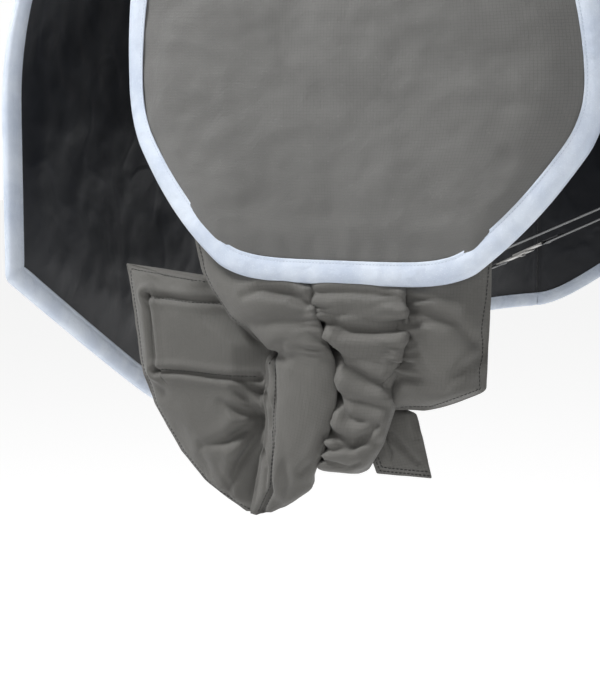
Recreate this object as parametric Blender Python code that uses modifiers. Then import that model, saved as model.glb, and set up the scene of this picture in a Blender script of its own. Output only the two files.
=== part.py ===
"""Padded horse rug with a shaped tail flap and a wrap-around tail guard, as worn on a horse.

Frame: +Y towards the horse's head, +X the horse's right, +Z up. The origin is the middle of
the flat underside of the wither pad, where the rug rests on the horse. All sizes are metres.
"""

from math import acos, atan2, cos, pi, radians, sin, sqrt

import bmesh
import bpy
from mathutils import Matrix, Vector

# ---- Driving sizes ------------------------------------------------------------------------
CLEAR = 0.0004            # gap kept between two pieces that touch
LAYER_GAP = 0.0008        # and between two layers of cloth
BODY_LENGTH = 1.35        # rear edge to the line where the sides turn in at the shoulder
CHEST_REACH = 0.36        # how far the chest stands in front of that line
REAR_HALF_WIDTH = 0.375   # half the opening at the rear
FRONT_HALF_WIDTH = 0.335  # half the width across the shoulders
ARCH_RISE = 0.38          # height of the rounded back above the straight side walls
ARCH_GIRTH = 0.58         # cloth from the spine down to the top of the side wall
HEM_DROP = 0.81           # hem of the sides, below the origin
RUMP_DROP = 0.105         # how far the spine falls away over the rump
RUMP_LENGTH = 0.34        # length over which it falls
SADDLE_DIP = 0.03         # hollow of the back between croup and withers
WITHER_STATION = 1.10     # distance of the origin from the rear edge
NECK_LEAD = 0.03          # bare spine between the wither pad and the start of the neckline
NECK_TURN_DROP = 0.015    # how far below the arch the neckline has come at the shoulder seam
NECK_FALL = 0.035         # how much lower it is at the middle of the chest

OUTER_CLOTH = 0.0010
FILL = 0.0036
LINING_CLOTH = 0.0010
CORNER_LENGTH = 0.34      # slanted rear corner of the hem, along the hem
CORNER_HEIGHT = 0.175     # and up the rear edge
CORNER_EASE = 0.08        # how softly the slant runs into the hem
CHEST_HEM_RISE = 0.13     # how far the hem rises towards the middle of the chest
TURN_GIRTH = 0.55         # cloth round the quarter turn from shoulder to the middle of the chest
SEAM_TURN = 0.40          # share of that turn at which the shoulder seam runs
SEAM_GAP = 0.0012         # gap at the shoulder seam
CHEST_OVERLAP = 0.045     # girth by which each chest front passes the middle
LAP_STAND = 0.0118        # how far the upper chest front stands off for the lower one

TAPE_THICK = 0.0010       # folded edge tape
TAPE_REACH = 0.018        # how far it reaches in from the edge
TAPE_EDGE = 0.0012        # gap between the fold and the edge
HEM_FLARE = 0.0002        # how far its legs stand open: along the hem,
NECK_FLARE = 0.0060       # along the neckline, which runs slantwise over the curve of the back,
FLAP_FLARE = 0.0016       # and round the tail flap
NECK_REACH, NECK_EDGE = 0.010, 0.0026   # the narrower tape of the neckline
NECK_BARE = 0.0345        # share of the neckline left without tape at the spine
SPINE_TAPE_HALF = 0.018   # seam tape over the spine
PAD_LENGTH, PAD_HALF_WIDTH, PAD_DEPTH = 0.18, 0.060, 0.012

HINGE_BACK = 0.008        # tail flap seam, behind the rear edge
HINGE_DROP = 0.215        # and below the origin
YOKE_THICK = 0.0030
YOKE_SEWN = 0.7           # share of the first panel column that the yoke lies on
FLAP_LENGTH = 0.405
FLAP_TOP_HALF = 0.190     # half widths: at the seam, at the widest, at the rounding's start, at the bottom
FLAP_WIDE_HALF = 0.240
FLAP_LOW_HALF = 0.226
FLAP_END_HALF = 0.128
FLAP_BOW = 1.6            # how strongly its sides wrap forward, per metre
FLAP_FLAT_HALF = 0.10     # the middle that stays flat
FLAP_LEAN = 0.014         # how far its lower edge stands behind the seam
FLAP_CORNER_LIFT = 0.014

HEADER_TOP = 0.425        # strip inside the flap that the guard hangs from, below the origin
HEADER_HALF = 0.120
HEADER_THICK = 0.0100
GUARD_TOP = 0.455         # top of the swinging guard, below the origin
GUARD_GAP = 0.0012        # gap between header and guard
GUARD_DEPTH = 0.022
GUARD_INSET = 0.0014      # how far its rear face stands behind the flap's layers at the seam
CENTRE_BULGE = 0.0048     # how much further back the gathered centre reaches
GUARD_SEAM_LEFT = -0.0405
GUARD_SEAM_RIGHT = 0.0470
ELASTIC_THICK = 0.0012
ELASTIC_DEEP = 0.012
WRAP_DEPTH = 0.014        # the wrap tab behind the left wing
TAB_DEPTH = 0.008         # the short tab behind the centre
PATCH_THICK = 0.0018

WEBBING = 0.0016
BELLY_WEB_WIDTH = 0.040
CHEST_WEB_WIDTH = 0.038
LOOP_RADIUS = 0.0031      # centre line of webbing round a plate's bar
LOOP_TAIL = 0.006
FOLD_BACK = 0.022         # webbing sewn back on itself behind the loop
PLATE_THICK = 0.0020
PLATE_LENGTH = 0.050
PLATE_MARGIN = 0.006      # metal beside the webbing, each side
BAR_WIDTH = 0.0030
BAR_SLOT = 0.0070
TONGUE_THICK, TONGUE_WIDTH, TONGUE_REACH = 0.0030, 0.018, 0.0065
TONGUE_INSET = 0.007      # its middle, from the plate's end
CATCH_SLOT = 0.016
CATCH_INSET = 0.006       # metal between the catch slot and the plate's end
SLACK = 0.0065            # free play of the tongue before the strap pulls tight
SLIDER_LENGTH = 0.016
SLIDER_WALL = 0.0028

BELLY_STATIONS = (0.85, 1.13)   # rear and front belly strap, from the rear edge
BELLY_RIGHT_DROP = 0.455        # sewn end on the right, below the origin
BELLY_LEFT_DROP = 0.765         # sewn end on the left
BELLY_PATCH = 0.055
BELLY_CATCH_SHARE = 0.20        # where along the strap the plates meet, from the left
CHEST_STRAP_DROPS = (0.475, 0.575)
CHEST_STRAP_SEWN = (-0.050, 0.010)   # the strap's sewn part on the left front, across the chest
CHEST_TAB_SEWN = (0.225, 0.175)      # the tab's sewn part on the right front
CHEST_PLATE_X = 0.110           # middle of the closed plates
CHEST_PLATE_LIFT = 0.0165        # their height above the chest's curve there, less the cloth

STACK = LINING_CLOTH + FILL + OUTER_CLOTH + 2 * LAYER_GAP
GUARD_SET = STACK - GUARD_INSET
TAPE_RISE = CLEAR + TAPE_THICK + HEM_FLARE
NECK_STATION = WITHER_STATION + PAD_LENGTH / 2 + NECK_LEAD
SEAM_ALONG = BODY_LENGTH + TURN_GIRTH * SEAM_TURN
CHEST_END = BODY_LENGTH + TURN_GIRTH
NECK_TAPE_START = NECK_STATION + NECK_BARE * (SEAM_ALONG - NECK_STATION)
PLATE_STEP = PLATE_THICK + CLEAR
HOOK_REACH = PLATE_LENGTH - BAR_WIDTH / 2 - TONGUE_INSET
BARS_APART = HOOK_REACH + PLATE_LENGTH - BAR_WIDTH / 2 - CATCH_INSET - SLACK - TONGUE_THICK / 2
TAIL_Y = -WITHER_STATION
HINGE = Vector((0.0, TAIL_Y - HINGE_BACK, -HINGE_DROP))

COLOURS = {
    "ripstop": ((0.16, 0.16, 0.155), 0.75, 0.0),
    "lining": ((0.012, 0.014, 0.02), 0.4, 0.0),
    "fill": ((0.8, 0.8, 0.8), 0.9, 0.0),
    "binding": ((0.52, 0.60, 0.70), 0.45, 0.0),
    "webbing": ((0.13, 0.135, 0.14), 0.7, 0.0),
    "elastic": ((0.05, 0.05, 0.05), 0.8, 0.0),
    "hook_loop": ((0.03, 0.03, 0.03), 0.9, 0.0),
    "fleece": ((0.10, 0.10, 0.11), 0.95, 0.0),
    "metal": ((0.6, 0.6, 0.62), 0.3, 1.0),
    "plastic": ((0.02, 0.02, 0.022), 0.45, 0.0),
}


# ---- Scene and small helpers ----------------------------------------------------------------
def new_collection(name):
    made = bpy.data.collections.new(name)
    bpy.context.scene.collection.children.link(made)
    return made


for old in list(bpy.data.objects):
    bpy.data.objects.remove(old, do_unlink=True)
PARTS = new_collection("padded_rug")
CUTTERS = new_collection("cutters")


def material(name):
    found = bpy.data.materials.get(name)
    if found:
        return found
    colour, roughness, metallic = COLOURS[name]
    made = bpy.data.materials.new(name)
    made.use_nodes = True
    shader = made.node_tree.nodes["Principled BSDF"]
    shader.inputs["Base Color"].default_value = (*colour, 1.0)
    shader.inputs["Roughness"].default_value = roughness
    shader.inputs["Metallic"].default_value = metallic
    return made


def add(name, data, finish, collection=None):
    obj = bpy.data.objects.new(name, data)
    (collection or PARTS).objects.link(obj)
    if finish:
        data.materials.append(material(finish))
    return obj


def smooth(t):
    t = min(max(t, 0.0), 1.0)
    return t * t * (3 - 2 * t)


def spread(start, end, count):
    """count evenly spaced values that follow start and finish at end."""
    return [start + (end - start) * i / count for i in range(1, count + 1)]


def sheet(name, spots, thickness, finish):
    """Cloth through a grid of points, spots[column][row]. It thickens towards the side
    that (next column) x (next row) points to."""
    columns, rows = len(spots) - 1, len(spots[0]) - 1
    mesh = bpy.data.meshes.new(name)
    bm = bmesh.new()
    bmesh.ops.create_grid(bm, x_segments=columns, y_segments=rows, size=1.0)
    for vertex in bm.verts:
        column = round((vertex.co.x + 1) / 2 * columns)
        row = round((vertex.co.y + 1) / 2 * rows)
        vertex.co = spots[column][row]
    bm.to_mesh(mesh)
    bm.free()
    mesh.shade_smooth()
    obj = add(name, mesh, finish)
    solid = obj.modifiers.new("thickness", "SOLIDIFY")
    solid.thickness = thickness
    solid.offset = 1.0
    return obj


def neighbours(spots, i, j):
    """The differences to the next column and the next row, at one point of a grid."""
    last_i, last_j = len(spots) - 1, len(spots[0]) - 1
    across = spots[min(i + 1, last_i)][j] - spots[max(i - 1, 0)][j]
    down = spots[i][min(j + 1, last_j)] - spots[i][max(j - 1, 0)]
    return across, down


def grid_normal(spots, i, j):
    across, down = neighbours(spots, i, j)
    return across.cross(down).normalized()


def raised(spots, height):
    """The grid moved along its own normals; height may be a number or one number per column."""
    heights = height if isinstance(height, list) else [height] * len(spots)
    return [[spots[i][j] + grid_normal(spots, i, j) * heights[i] for j in range(len(spots[0]))]
            for i in range(len(spots))]


def mirrored(spots):
    return [[Vector((-p.x, p.y, p.z)) for p in column] for column in reversed(spots)]


def folded_tape(near, far, order, reach=TAPE_REACH, gap=TAPE_EDGE, flare=HEM_FLARE):
    """Spots of a tape folded over a sheet's edge. near and far are the grids of the sheet's two
    faces, far on the side the grid's normals point to; order lists the grid places of the edge.
    The fold's two legs stand open by flare at their ends."""
    strips = []
    for k, (i, j) in enumerate(order):
        beside = [order[m] for m in (k - 1, k + 1) if 0 <= m < len(order)]
        along_row = any(place[1] == j for place in beside)
        along_column = any(place[0] == i for place in beside)
        inner = (i, 1 if j == 0 else j - 1) if along_row else (1 if i == 0 else i - 1, j)
        normal = grid_normal(near, i, j)
        legs = []
        for face, side in ((far, 1), (near, -1)):
            point = face[i][j]
            inwards = (face[inner[0]][inner[1]] - point).normalized()
            if along_row and along_column:
                # A corner: the two edges' inward directions are added, which mitres the fold.
                other = (1 if i == 0 else i - 1, j)
                inwards += (face[other[0]][other[1]] - point).normalized()
            lifted = point + normal * CLEAR * side
            end = lifted + inwards * reach + normal * flare * side
            legs.append((end, lifted - inwards * gap))
        strips.append([legs[0][0], legs[0][1], legs[1][1], legs[1][0]])
    onwards = far[order[1][0]][order[1][1]] - far[order[0][0]][order[0][1]]
    if onwards.cross(strips[0][1] - strips[0][0]).dot(grid_normal(near, *order[0])) < 0:
        strips.reverse()
    return strips


def outline_solid(name, outline, depth, matrix, finish):
    """A flat outline, extruded by depth about its own plane and placed by matrix."""
    curve = bpy.data.curves.new(name, "CURVE")
    curve.dimensions = "2D"
    curve.fill_mode = "BOTH"
    curve.extrude = depth / 2
    spline = curve.splines.new("POLY")
    spline.points.add(len(outline) - 1)
    for slot, point in zip(spline.points, outline):
        slot.co = (point[0], point[1], 0.0, 1.0)
    spline.use_cyclic_u = True
    obj = add(name, curve, finish)
    obj.matrix_world = matrix
    return obj


def box(name, size, centre, finish=None, matrix=None):
    """A box; without a finish it is a cutter or a piece to be joined on."""
    mesh = bpy.data.meshes.new(name)
    bm = bmesh.new()
    bmesh.ops.create_cube(bm, size=1.0)
    bmesh.ops.scale(bm, vec=size, verts=bm.verts)
    bmesh.ops.translate(bm, vec=centre, verts=bm.verts)
    bm.to_mesh(mesh)
    bm.free()
    obj = add(name, mesh, finish, PARTS if finish else CUTTERS)
    if matrix is not None:
        obj.matrix_world = matrix
    if not finish:
        obj.hide_render = True
        obj.display_type = "WIRE"
    return obj


def combine(obj, tool, operation):
    modifier = obj.modifiers.new(operation.lower(), "BOOLEAN")
    modifier.operation = operation
    modifier.object = tool


# ---- The rug's surface ------------------------------------------------------------------------
def spine_height(station):
    """Height of the cloth's inner face over the spine: it falls away over the rump and
    dips between croup and withers."""
    rump = -RUMP_DROP * (1 - sin(pi / 2 * min(max(station, 0.0) / RUMP_LENGTH, 1.0))) ** 1.5
    hollow = (station - RUMP_LENGTH) / (WITHER_STATION - PAD_LENGTH / 2 - RUMP_LENGTH)
    hollow = min(max(hollow, 0.0), 1.0)
    return PAD_DEPTH + CLEAR + rump - SADDLE_DIP * sin(pi * hollow) ** 2


def half_width(station):
    return REAR_HALF_WIDTH + (FRONT_HALF_WIDTH - REAR_HALF_WIDTH) * smooth(station / BODY_LENGTH)


def surface(along, down):
    """The left side's inner face. along is the girth from the rear edge forwards, round the
    shoulder turn and on to the chest; down is the cloth's length from the spine to the hem."""
    arc = min(down / ARCH_GIRTH, 1.0) * pi / 2
    drop = max(down - ARCH_GIRTH, 0.0)
    turn = max(along - BODY_LENGTH, 0.0) / TURN_GIRTH * pi / 2
    station = min(along, BODY_LENGTH)
    return Vector((
        -half_width(station) * cos(turn) * sin(arc),
        TAIL_Y + station + CHEST_REACH * sin(turn) * sin(arc),
        spine_height(station) - ARCH_RISE * (1 - cos(arc)) - drop,
    ))


def neckline(along):
    """Cloth length from the spine down to the neckline."""
    share = (along - NECK_STATION) / (SEAM_ALONG - NECK_STATION)
    if share <= 0:
        return CLEAR
    fall = NECK_FALL * smooth((along - SEAM_ALONG) / (CHEST_END - SEAM_ALONG))
    return CLEAR + (ARCH_GIRTH + NECK_TURN_DROP) * smooth(share) ** 0.9 + fall


def hem(along):
    """Cloth length from the spine down to the hem."""
    slant = max(1 - along / CORNER_LENGTH, 0.0)
    corner = CORNER_HEIGHT * (sqrt(slant ** 2 + CORNER_EASE ** 2) - CORNER_EASE)
    corner /= sqrt(1 + CORNER_EASE ** 2) - CORNER_EASE
    chest = CHEST_HEM_RISE * smooth((along - SEAM_ALONG) / (CHEST_END - SEAM_ALONG))
    station = min(along, BODY_LENGTH)
    return ARCH_GIRTH + spine_height(station) - ARCH_RISE + HEM_DROP - corner - chest


# Rows of the side panels: the first ones end the spine tape and the wither pad.
NEAR_ROWS = [0.0, SPINE_TAPE_HALF, PAD_HALF_WIDTH]
ARCH_SHARES = spread(0.0, 1.0, 6)
WALL_SHARES = spread(0.0, 1.0, 3)
YOKE_ROWS = 4
SIDE_COLUMNS = ([0.0] + spread(0.0, CORNER_LENGTH, 6)
                + spread(CORNER_LENGTH, WITHER_STATION - PAD_LENGTH / 2, 5)
                + spread(WITHER_STATION - PAD_LENGTH / 2, WITHER_STATION + PAD_LENGTH / 2, 2)
                + [NECK_STATION, NECK_TAPE_START] + spread(NECK_TAPE_START, BODY_LENGTH, 4)
                + spread(BODY_LENGTH, SEAM_ALONG - SEAM_GAP / 2, 4))
PAD_COLUMN = 11
NECK_COLUMN = 15
CHEST_COLUMNS = [SEAM_ALONG + SEAM_GAP / 2] + spread(SEAM_ALONG + SEAM_GAP / 2, CHEST_END + CHEST_OVERLAP, 8)
CHEST_SHARES = [0.0] + spread(0.0, 1.0, 4)


def side_rows(along):
    """Cloth lengths of the rows of a side panel's column, from the spine."""
    top = neckline(along)
    near = [top + distance for distance in NEAR_ROWS]
    arch = max(ARCH_GIRTH, near[-1] + 0.09) - near[-1]
    wall = hem(along) - near[-1] - arch
    return (near + [near[-1] + arch * share for share in ARCH_SHARES]
            + [near[-1] + arch + wall * share for share in WALL_SHARES])


def chest_rows(along):
    top = neckline(along)
    return [top + (hem(along) - top) * share for share in CHEST_SHARES]


def lap_stand(along):
    """How far the left chest front stands off, to lie over the right one."""
    flat_from = CHEST_END - CHEST_OVERLAP - 0.02
    return LAP_STAND * smooth((along - SEAM_ALONG) / (flat_from - SEAM_ALONG))


# The inner faces of the left-hand panels, as grids of points.
SIDE = [[surface(along, down) for down in side_rows(along)] for along in SIDE_COLUMNS]
CHEST = [[surface(along, down) for down in chest_rows(along)] for along in CHEST_COLUMNS]
CHEST_UPPER = raised(CHEST, [lap_stand(along) for along in CHEST_COLUMNS])
LAYERS = (
    ("lining", 0.0, LINING_CLOTH, "lining"),
    ("fill", LINING_CLOTH + LAYER_GAP, FILL, "fill"),
    ("shell", LINING_CLOTH + FILL + 2 * LAYER_GAP, OUTER_CLOTH, "ripstop"),
)


def both_sides(name, left, right, thickness, finish):
    """The left piece, and the right one as the mirror image of the grid given for it."""
    sheet(f"{name}_left", left, thickness, finish)
    sheet(f"{name}_right", mirrored(right), thickness, finish)


def layered_panels():
    for layer, height, thickness, finish in LAYERS:
        side = raised(SIDE, height)
        both_sides(f"side_{layer}", side, side, thickness, finish)
        both_sides(f"chest_{layer}", raised(CHEST_UPPER, height), raised(CHEST, height), thickness, finish)


def bindings():
    outer = raised(SIDE, STACK)
    last_i, last_j = len(SIDE) - 1, len(SIDE[0]) - 1
    rear_and_hem = [(0, j) for j in range(last_j + 1)] + [(i, last_j) for i in range(1, last_i + 1)]
    tape = folded_tape(SIDE, outer, rear_and_hem)
    both_sides("hem_binding", tape, tape, TAPE_THICK, "binding")
    neck = [(i, 0) for i in range(NECK_COLUMN, last_i + 1)]
    tape = folded_tape(SIDE, outer, neck, NECK_REACH, NECK_EDGE, NECK_FLARE)
    both_sides("neck_binding", tape, tape, TAPE_THICK, "binding")
    last_i, last_j = len(CHEST) - 1, len(CHEST[0]) - 1
    loop = ([(i, 0) for i in range(last_i + 1)] + [(last_i, j) for j in range(1, last_j + 1)]
            + [(i, last_j) for i in range(last_i - 1, -1, -1)])
    upper = folded_tape(CHEST_UPPER, raised(CHEST_UPPER, STACK), loop)
    lower = folded_tape(CHEST, raised(CHEST, STACK), loop)
    both_sides("chest_binding", upper, lower, TAPE_THICK, "binding")


# ---- Spine tape and wither pad ------------------------------------------------------------------
def over_spine(column, rows, height):
    """Points across the spine, left to right, on one panel column and a number of its rows."""
    lifted = raised(SIDE, height)
    left = [lifted[column][j] for j in range(rows, 0, -1)]
    middle = lifted[column][0].copy()
    middle.x = 0.0
    return left + [middle] + [Vector((-p.x, p.y, p.z)) for p in reversed(left)]


def spine_tape():
    spots = [over_spine(column, 1, STACK + CLEAR) for column in range(1, NECK_COLUMN)]
    sheet("spine_tape", [list(reversed(column)) for column in spots], TAPE_THICK, "ripstop")


def wither_pad():
    """Follows the lining on top and is flat below."""
    top = [over_spine(column, 2, -CLEAR) for column in range(PAD_COLUMN, PAD_COLUMN + 3)]
    mesh = bpy.data.meshes.new("wither_pad")
    bm = bmesh.new()
    bmesh.ops.create_grid(bm, x_segments=2, y_segments=4, size=1.0)
    for vertex in bm.verts:
        vertex.co = top[round(vertex.co.x + 1)][round((vertex.co.y + 1) * 2)]
    made = bmesh.ops.extrude_face_region(bm, geom=bm.faces[:])["geom"]
    for vertex in [v for v in made if isinstance(v, bmesh.types.BMVert)]:
        vertex.co.z = 0.0
    bmesh.ops.recalc_face_normals(bm, faces=bm.faces[:])
    bm.to_mesh(mesh)
    bm.free()
    add("wither_pad", mesh, "fleece")


# ---- Tail flap ----------------------------------------------------------------------------------
def tail_yoke():
    """The cloth that carries the flap: sewn over the rump, it straightens to the flap's seam."""
    height = STACK + TAPE_RISE + CLEAR + YOKE_THICK
    edge = over_spine(0, YOKE_ROWS, height)
    ahead = over_spine(1, YOKE_ROWS, height)
    widest = edge[-1].x
    across = [rim.x / widest for rim in edge]
    spots = []
    for share, rim, front in zip(across, edge, ahead):
        seam = HINGE + Vector((share * FLAP_TOP_HALF, 0.0, 0.0))
        knee = rim + (rim - front).normalized() * 0.030
        settle = seam + Vector((0.0, 0.0, 0.022))
        column = [rim.lerp(front, YOKE_SEWN)]
        for t in [0.0] + spread(0.0, 1.0, 8):
            column.append((1 - t) ** 3 * rim + 3 * (1 - t) ** 2 * t * knee
                          + 3 * (1 - t) * t * t * settle + t ** 3 * seam)
        spots.append(column)
    sheet("tail_yoke", spots, YOKE_THICK, "ripstop")


def flap_half_width(b):
    if b < 0.55:
        return FLAP_TOP_HALF + (FLAP_WIDE_HALF - FLAP_TOP_HALF) * sin(pi / 2 * b / 0.55)
    if b < 0.70:
        return FLAP_WIDE_HALF + (FLAP_LOW_HALF - FLAP_WIDE_HALF) * ((b - 0.55) / 0.15) ** 2
    fall = (b - 0.70) / 0.30
    return FLAP_LOW_HALF + (FLAP_END_HALF - FLAP_LOW_HALF) * (0.75 * fall + 0.25 * fall ** 3)


def flap_spot(share, b):
    """Outer face of the flap; share runs from -1 to 1 across it and b from 0 to 1 down it."""
    x = share * flap_half_width(b)
    bow = FLAP_BOW * max(abs(x) - FLAP_FLAT_HALF, 0.0) ** 2 * smooth(b * 1.6)
    lift = FLAP_CORNER_LIFT * abs(share) ** 5 * smooth(2 * b - 1)
    drop = 2 * CLEAR + (FLAP_LENGTH - lift) * b
    return HINGE + Vector((x, bow - FLAP_LEAN * sin(pi / 2 * b), -drop))


FLAP = [[flap_spot(share, b) for b in [0.0] + spread(0.0, 1.0, 12)]
        for share in [-1.0] + spread(-1.0, 1.0, 12)]


def tail_flap():
    """The layers lie behind one another from the outer face inwards."""
    inwards = 0.0
    for layer, _, thickness, finish in reversed(LAYERS):
        sheet(f"tail_flap_{layer}", raised(FLAP, inwards), thickness, finish)
        inwards += thickness + LAYER_GAP
    last = len(FLAP) - 1
    edge = ([(0, j) for j in range(last + 1)] + [(i, last) for i in range(1, last + 1)]
            + [(last, j) for j in range(last - 1, -1, -1)])
    tape = folded_tape(FLAP, raised(FLAP, STACK), edge, flare=FLAP_FLARE)
    sheet("tail_flap_binding", tape, TAPE_THICK, "binding")


# ---- Tail guard -----------------------------------------------------------------------------------
def guard_header():
    """The padded strip on the flap's lining that the guard hangs from."""
    spots = []
    for x in [-HEADER_HALF] + spread(-HEADER_HALF, HEADER_HALF, 6):
        column = []
        for drop in (HEADER_TOP, (HEADER_TOP + GUARD_TOP - GUARD_GAP) / 2, GUARD_TOP - GUARD_GAP):
            b = (drop - HINGE_DROP) / FLAP_LENGTH
            column.append(flap_spot(x / flap_half_width(b), b) + Vector((0.0, STACK + CLEAR, 0.0)))
        spots.append(column)
    sheet("guard_header", spots, HEADER_THICK, "ripstop")


def guard_piece(name, outline, ahead, depth, finish):
    """A padded (x, z) outline whose rear face lies ahead of the flap's seam."""
    middle = Matrix.Translation((0.0, HINGE.y + ahead + depth / 2, 0.0))
    return outline_solid(name, outline, depth, middle @ Matrix.Rotation(pi / 2, 4, "X"), finish)


def tail_guard():
    top = -GUARD_TOP
    slit = ELASTIC_THICK / 2 + CLEAR
    left, right = GUARD_SEAM_LEFT, GUARD_SEAM_RIGHT
    ahead = GUARD_SET + GUARD_DEPTH + CLEAR
    guard_piece("guard_centre", [
        (left + slit, top), (right - slit, top), (right - slit, -0.740),
        (0.032, -0.782), (0.014, -0.812), (-0.020, -0.814), (left + slit, -0.806),
    ], GUARD_SET - CENTRE_BULGE, GUARD_DEPTH + CENTRE_BULGE, "ripstop")
    guard_piece("guard_left_wing", [
        (left - slit, top), (-0.158, top), (-0.174, -0.575), (-0.163, -0.622), (-0.152, -0.640),
        (-0.129, -0.669), (-0.092, -0.692), (-0.083, -0.698), (-0.094, -0.710), (-0.093, -0.730),
        (-0.096, -0.790), (-0.102, -0.812), (-0.111, -0.864), (-0.072, -0.850), (left - slit, -0.828),
    ], GUARD_SET, GUARD_DEPTH, "ripstop")
    guard_piece("guard_right_wing", [
        (right + slit, top), (right + slit, -0.748), (0.080, -0.746), (0.106, -0.736),
        (0.134, -0.724), (0.137, -0.650), (0.141, top),
    ], GUARD_SET, GUARD_DEPTH, "ripstop")
    guard_piece("guard_wrap_tab", [
        (-0.257, -0.618), (-0.252, -0.651), (-0.241, -0.728), (-0.227, -0.761), (-0.196, -0.808),
        (-0.168, -0.838), (-0.120, -0.866), (-0.084, -0.835), (-0.084, -0.662), (-0.138, -0.630),
    ], ahead, WRAP_DEPTH, "ripstop")
    guard_piece("guard_rear_tab", [
        (0.006, -0.740), (0.044, -0.740), (0.046, -0.7495), (0.058, -0.7495), (0.065, -0.773),
        (0.076, -0.816), (0.018, -0.815), (0.009, -0.790),
    ], ahead, TAB_DEPTH, "ripstop")
    middle = HINGE.y + GUARD_SET + GUARD_DEPTH / 2
    for name, seam, low in (("guard_elastic_left", left, -0.785), ("guard_elastic_right", right, -0.730)):
        box(name, (ELASTIC_THICK, ELASTIC_DEEP, top - low), (seam, middle, (top + low) / 2), "elastic")
    box("hook_patch", (0.080, PATCH_THICK, 0.074),
        (-0.184, HINGE.y + ahead + WRAP_DEPTH + CLEAR + PATCH_THICK / 2, -0.686), "hook_loop")
    box("loop_patch", (0.056, PATCH_THICK, 0.085),
        (0.093, HINGE.y + ahead + PATCH_THICK / 2, -0.640), "hook_loop")


# ---- Straps and their plates ------------------------------------------------------------------
def ribbon_outline(path):
    """The closed outline of webbing whose centre line is path."""
    left, right = [], []
    for k, point in enumerate(path):
        before = Vector(point) - Vector(path[max(k - 1, 0)])
        after = Vector(path[min(k + 1, len(path) - 1)]) - Vector(point)
        heading = (before.normalized() + after.normalized()).normalized()
        leg = before.normalized() if k else after.normalized()
        side = Vector((-heading.y, heading.x)) * WEBBING / 2 / max(heading.dot(leg), 0.5)
        left.append(Vector(point) + side)
        right.append(Vector(point) - side)
    return left + right[::-1]


def loop_path(bar_x, bar_y, opens):
    """Webbing folded round a bar and sewn back on itself, on the side that opens gives."""
    ply = WEBBING / 2 + CLEAR * 1.5
    around = [radians(-90 + 30 * k) for k in range(7)]
    arc = [(bar_x - opens * LOOP_RADIUS * cos(t), bar_y + LOOP_RADIUS * sin(t)) for t in around]
    lower = (bar_x + opens * LOOP_TAIL, bar_y - ply)
    upper = (bar_x + opens * LOOP_TAIL, bar_y + ply)
    return [lower] + arc + [upper, (upper[0] + opens * FOLD_BACK, upper[1])]


def strap_with_hook(place, width, frame, tab_start, strap_start, lower_bar):
    """A tab with a slot plate and a strap with a hook plate, closed. In frame, x runs along the
    strap from tab to strap, y across the webbing and z up from the slot plate to the hook."""
    upper_bar = lower_bar + BARS_APART
    flat = frame @ Matrix.Rotation(pi / 2, 4, "X")
    wide = width + 2 * PLATE_MARGIN
    tab = tab_start + loop_path(lower_bar, 0.0, -1)
    outline_solid(f"{place[0]}_tab_{place[1]}", ribbon_outline(tab), width, flat, "webbing")
    strap = strap_start + loop_path(upper_bar, PLATE_STEP, 1)
    outline_solid(f"{place[0]}_strap_{place[1]}", ribbon_outline(strap), width, flat, "webbing")

    name = f"{place[0]}_slot_plate_{place[1]}"
    start = lower_bar - BAR_WIDTH / 2
    plate = box(name, (PLATE_LENGTH, wide, PLATE_THICK), (start + PLATE_LENGTH / 2, 0, 0), "metal", frame)
    window = box(f"{name}_slot", (BAR_SLOT, width + 0.003, PLATE_THICK * 4),
                 (start + BAR_WIDTH + BAR_SLOT / 2, 0, 0), None, frame)
    combine(plate, window, "DIFFERENCE")
    catch = box(f"{name}_catch", (CATCH_SLOT, TONGUE_WIDTH + 0.004, PLATE_THICK * 4),
                (start + PLATE_LENGTH - CATCH_INSET - CATCH_SLOT / 2, 0, 0), None, frame)
    combine(plate, catch, "DIFFERENCE")

    name = f"{place[0]}_hook_{place[1]}"
    start = upper_bar + BAR_WIDTH / 2 - PLATE_LENGTH
    plate = box(name, (PLATE_LENGTH, wide, PLATE_THICK), (start + PLATE_LENGTH / 2, 0, PLATE_STEP), "metal", frame)
    window = box(f"{name}_slot", (BAR_SLOT, width + 0.003, PLATE_THICK * 4),
                 (upper_bar - BAR_WIDTH / 2 - BAR_SLOT / 2, 0, PLATE_STEP), None, frame)
    combine(plate, window, "DIFFERENCE")
    tongue = box(f"{name}_tongue", (TONGUE_THICK, TONGUE_WIDTH, TONGUE_REACH),
                 (start + TONGUE_INSET, 0, PLATE_STEP - TONGUE_REACH / 2 + PLATE_THICK / 4), None, frame)
    combine(plate, tongue, "UNION")


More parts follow.
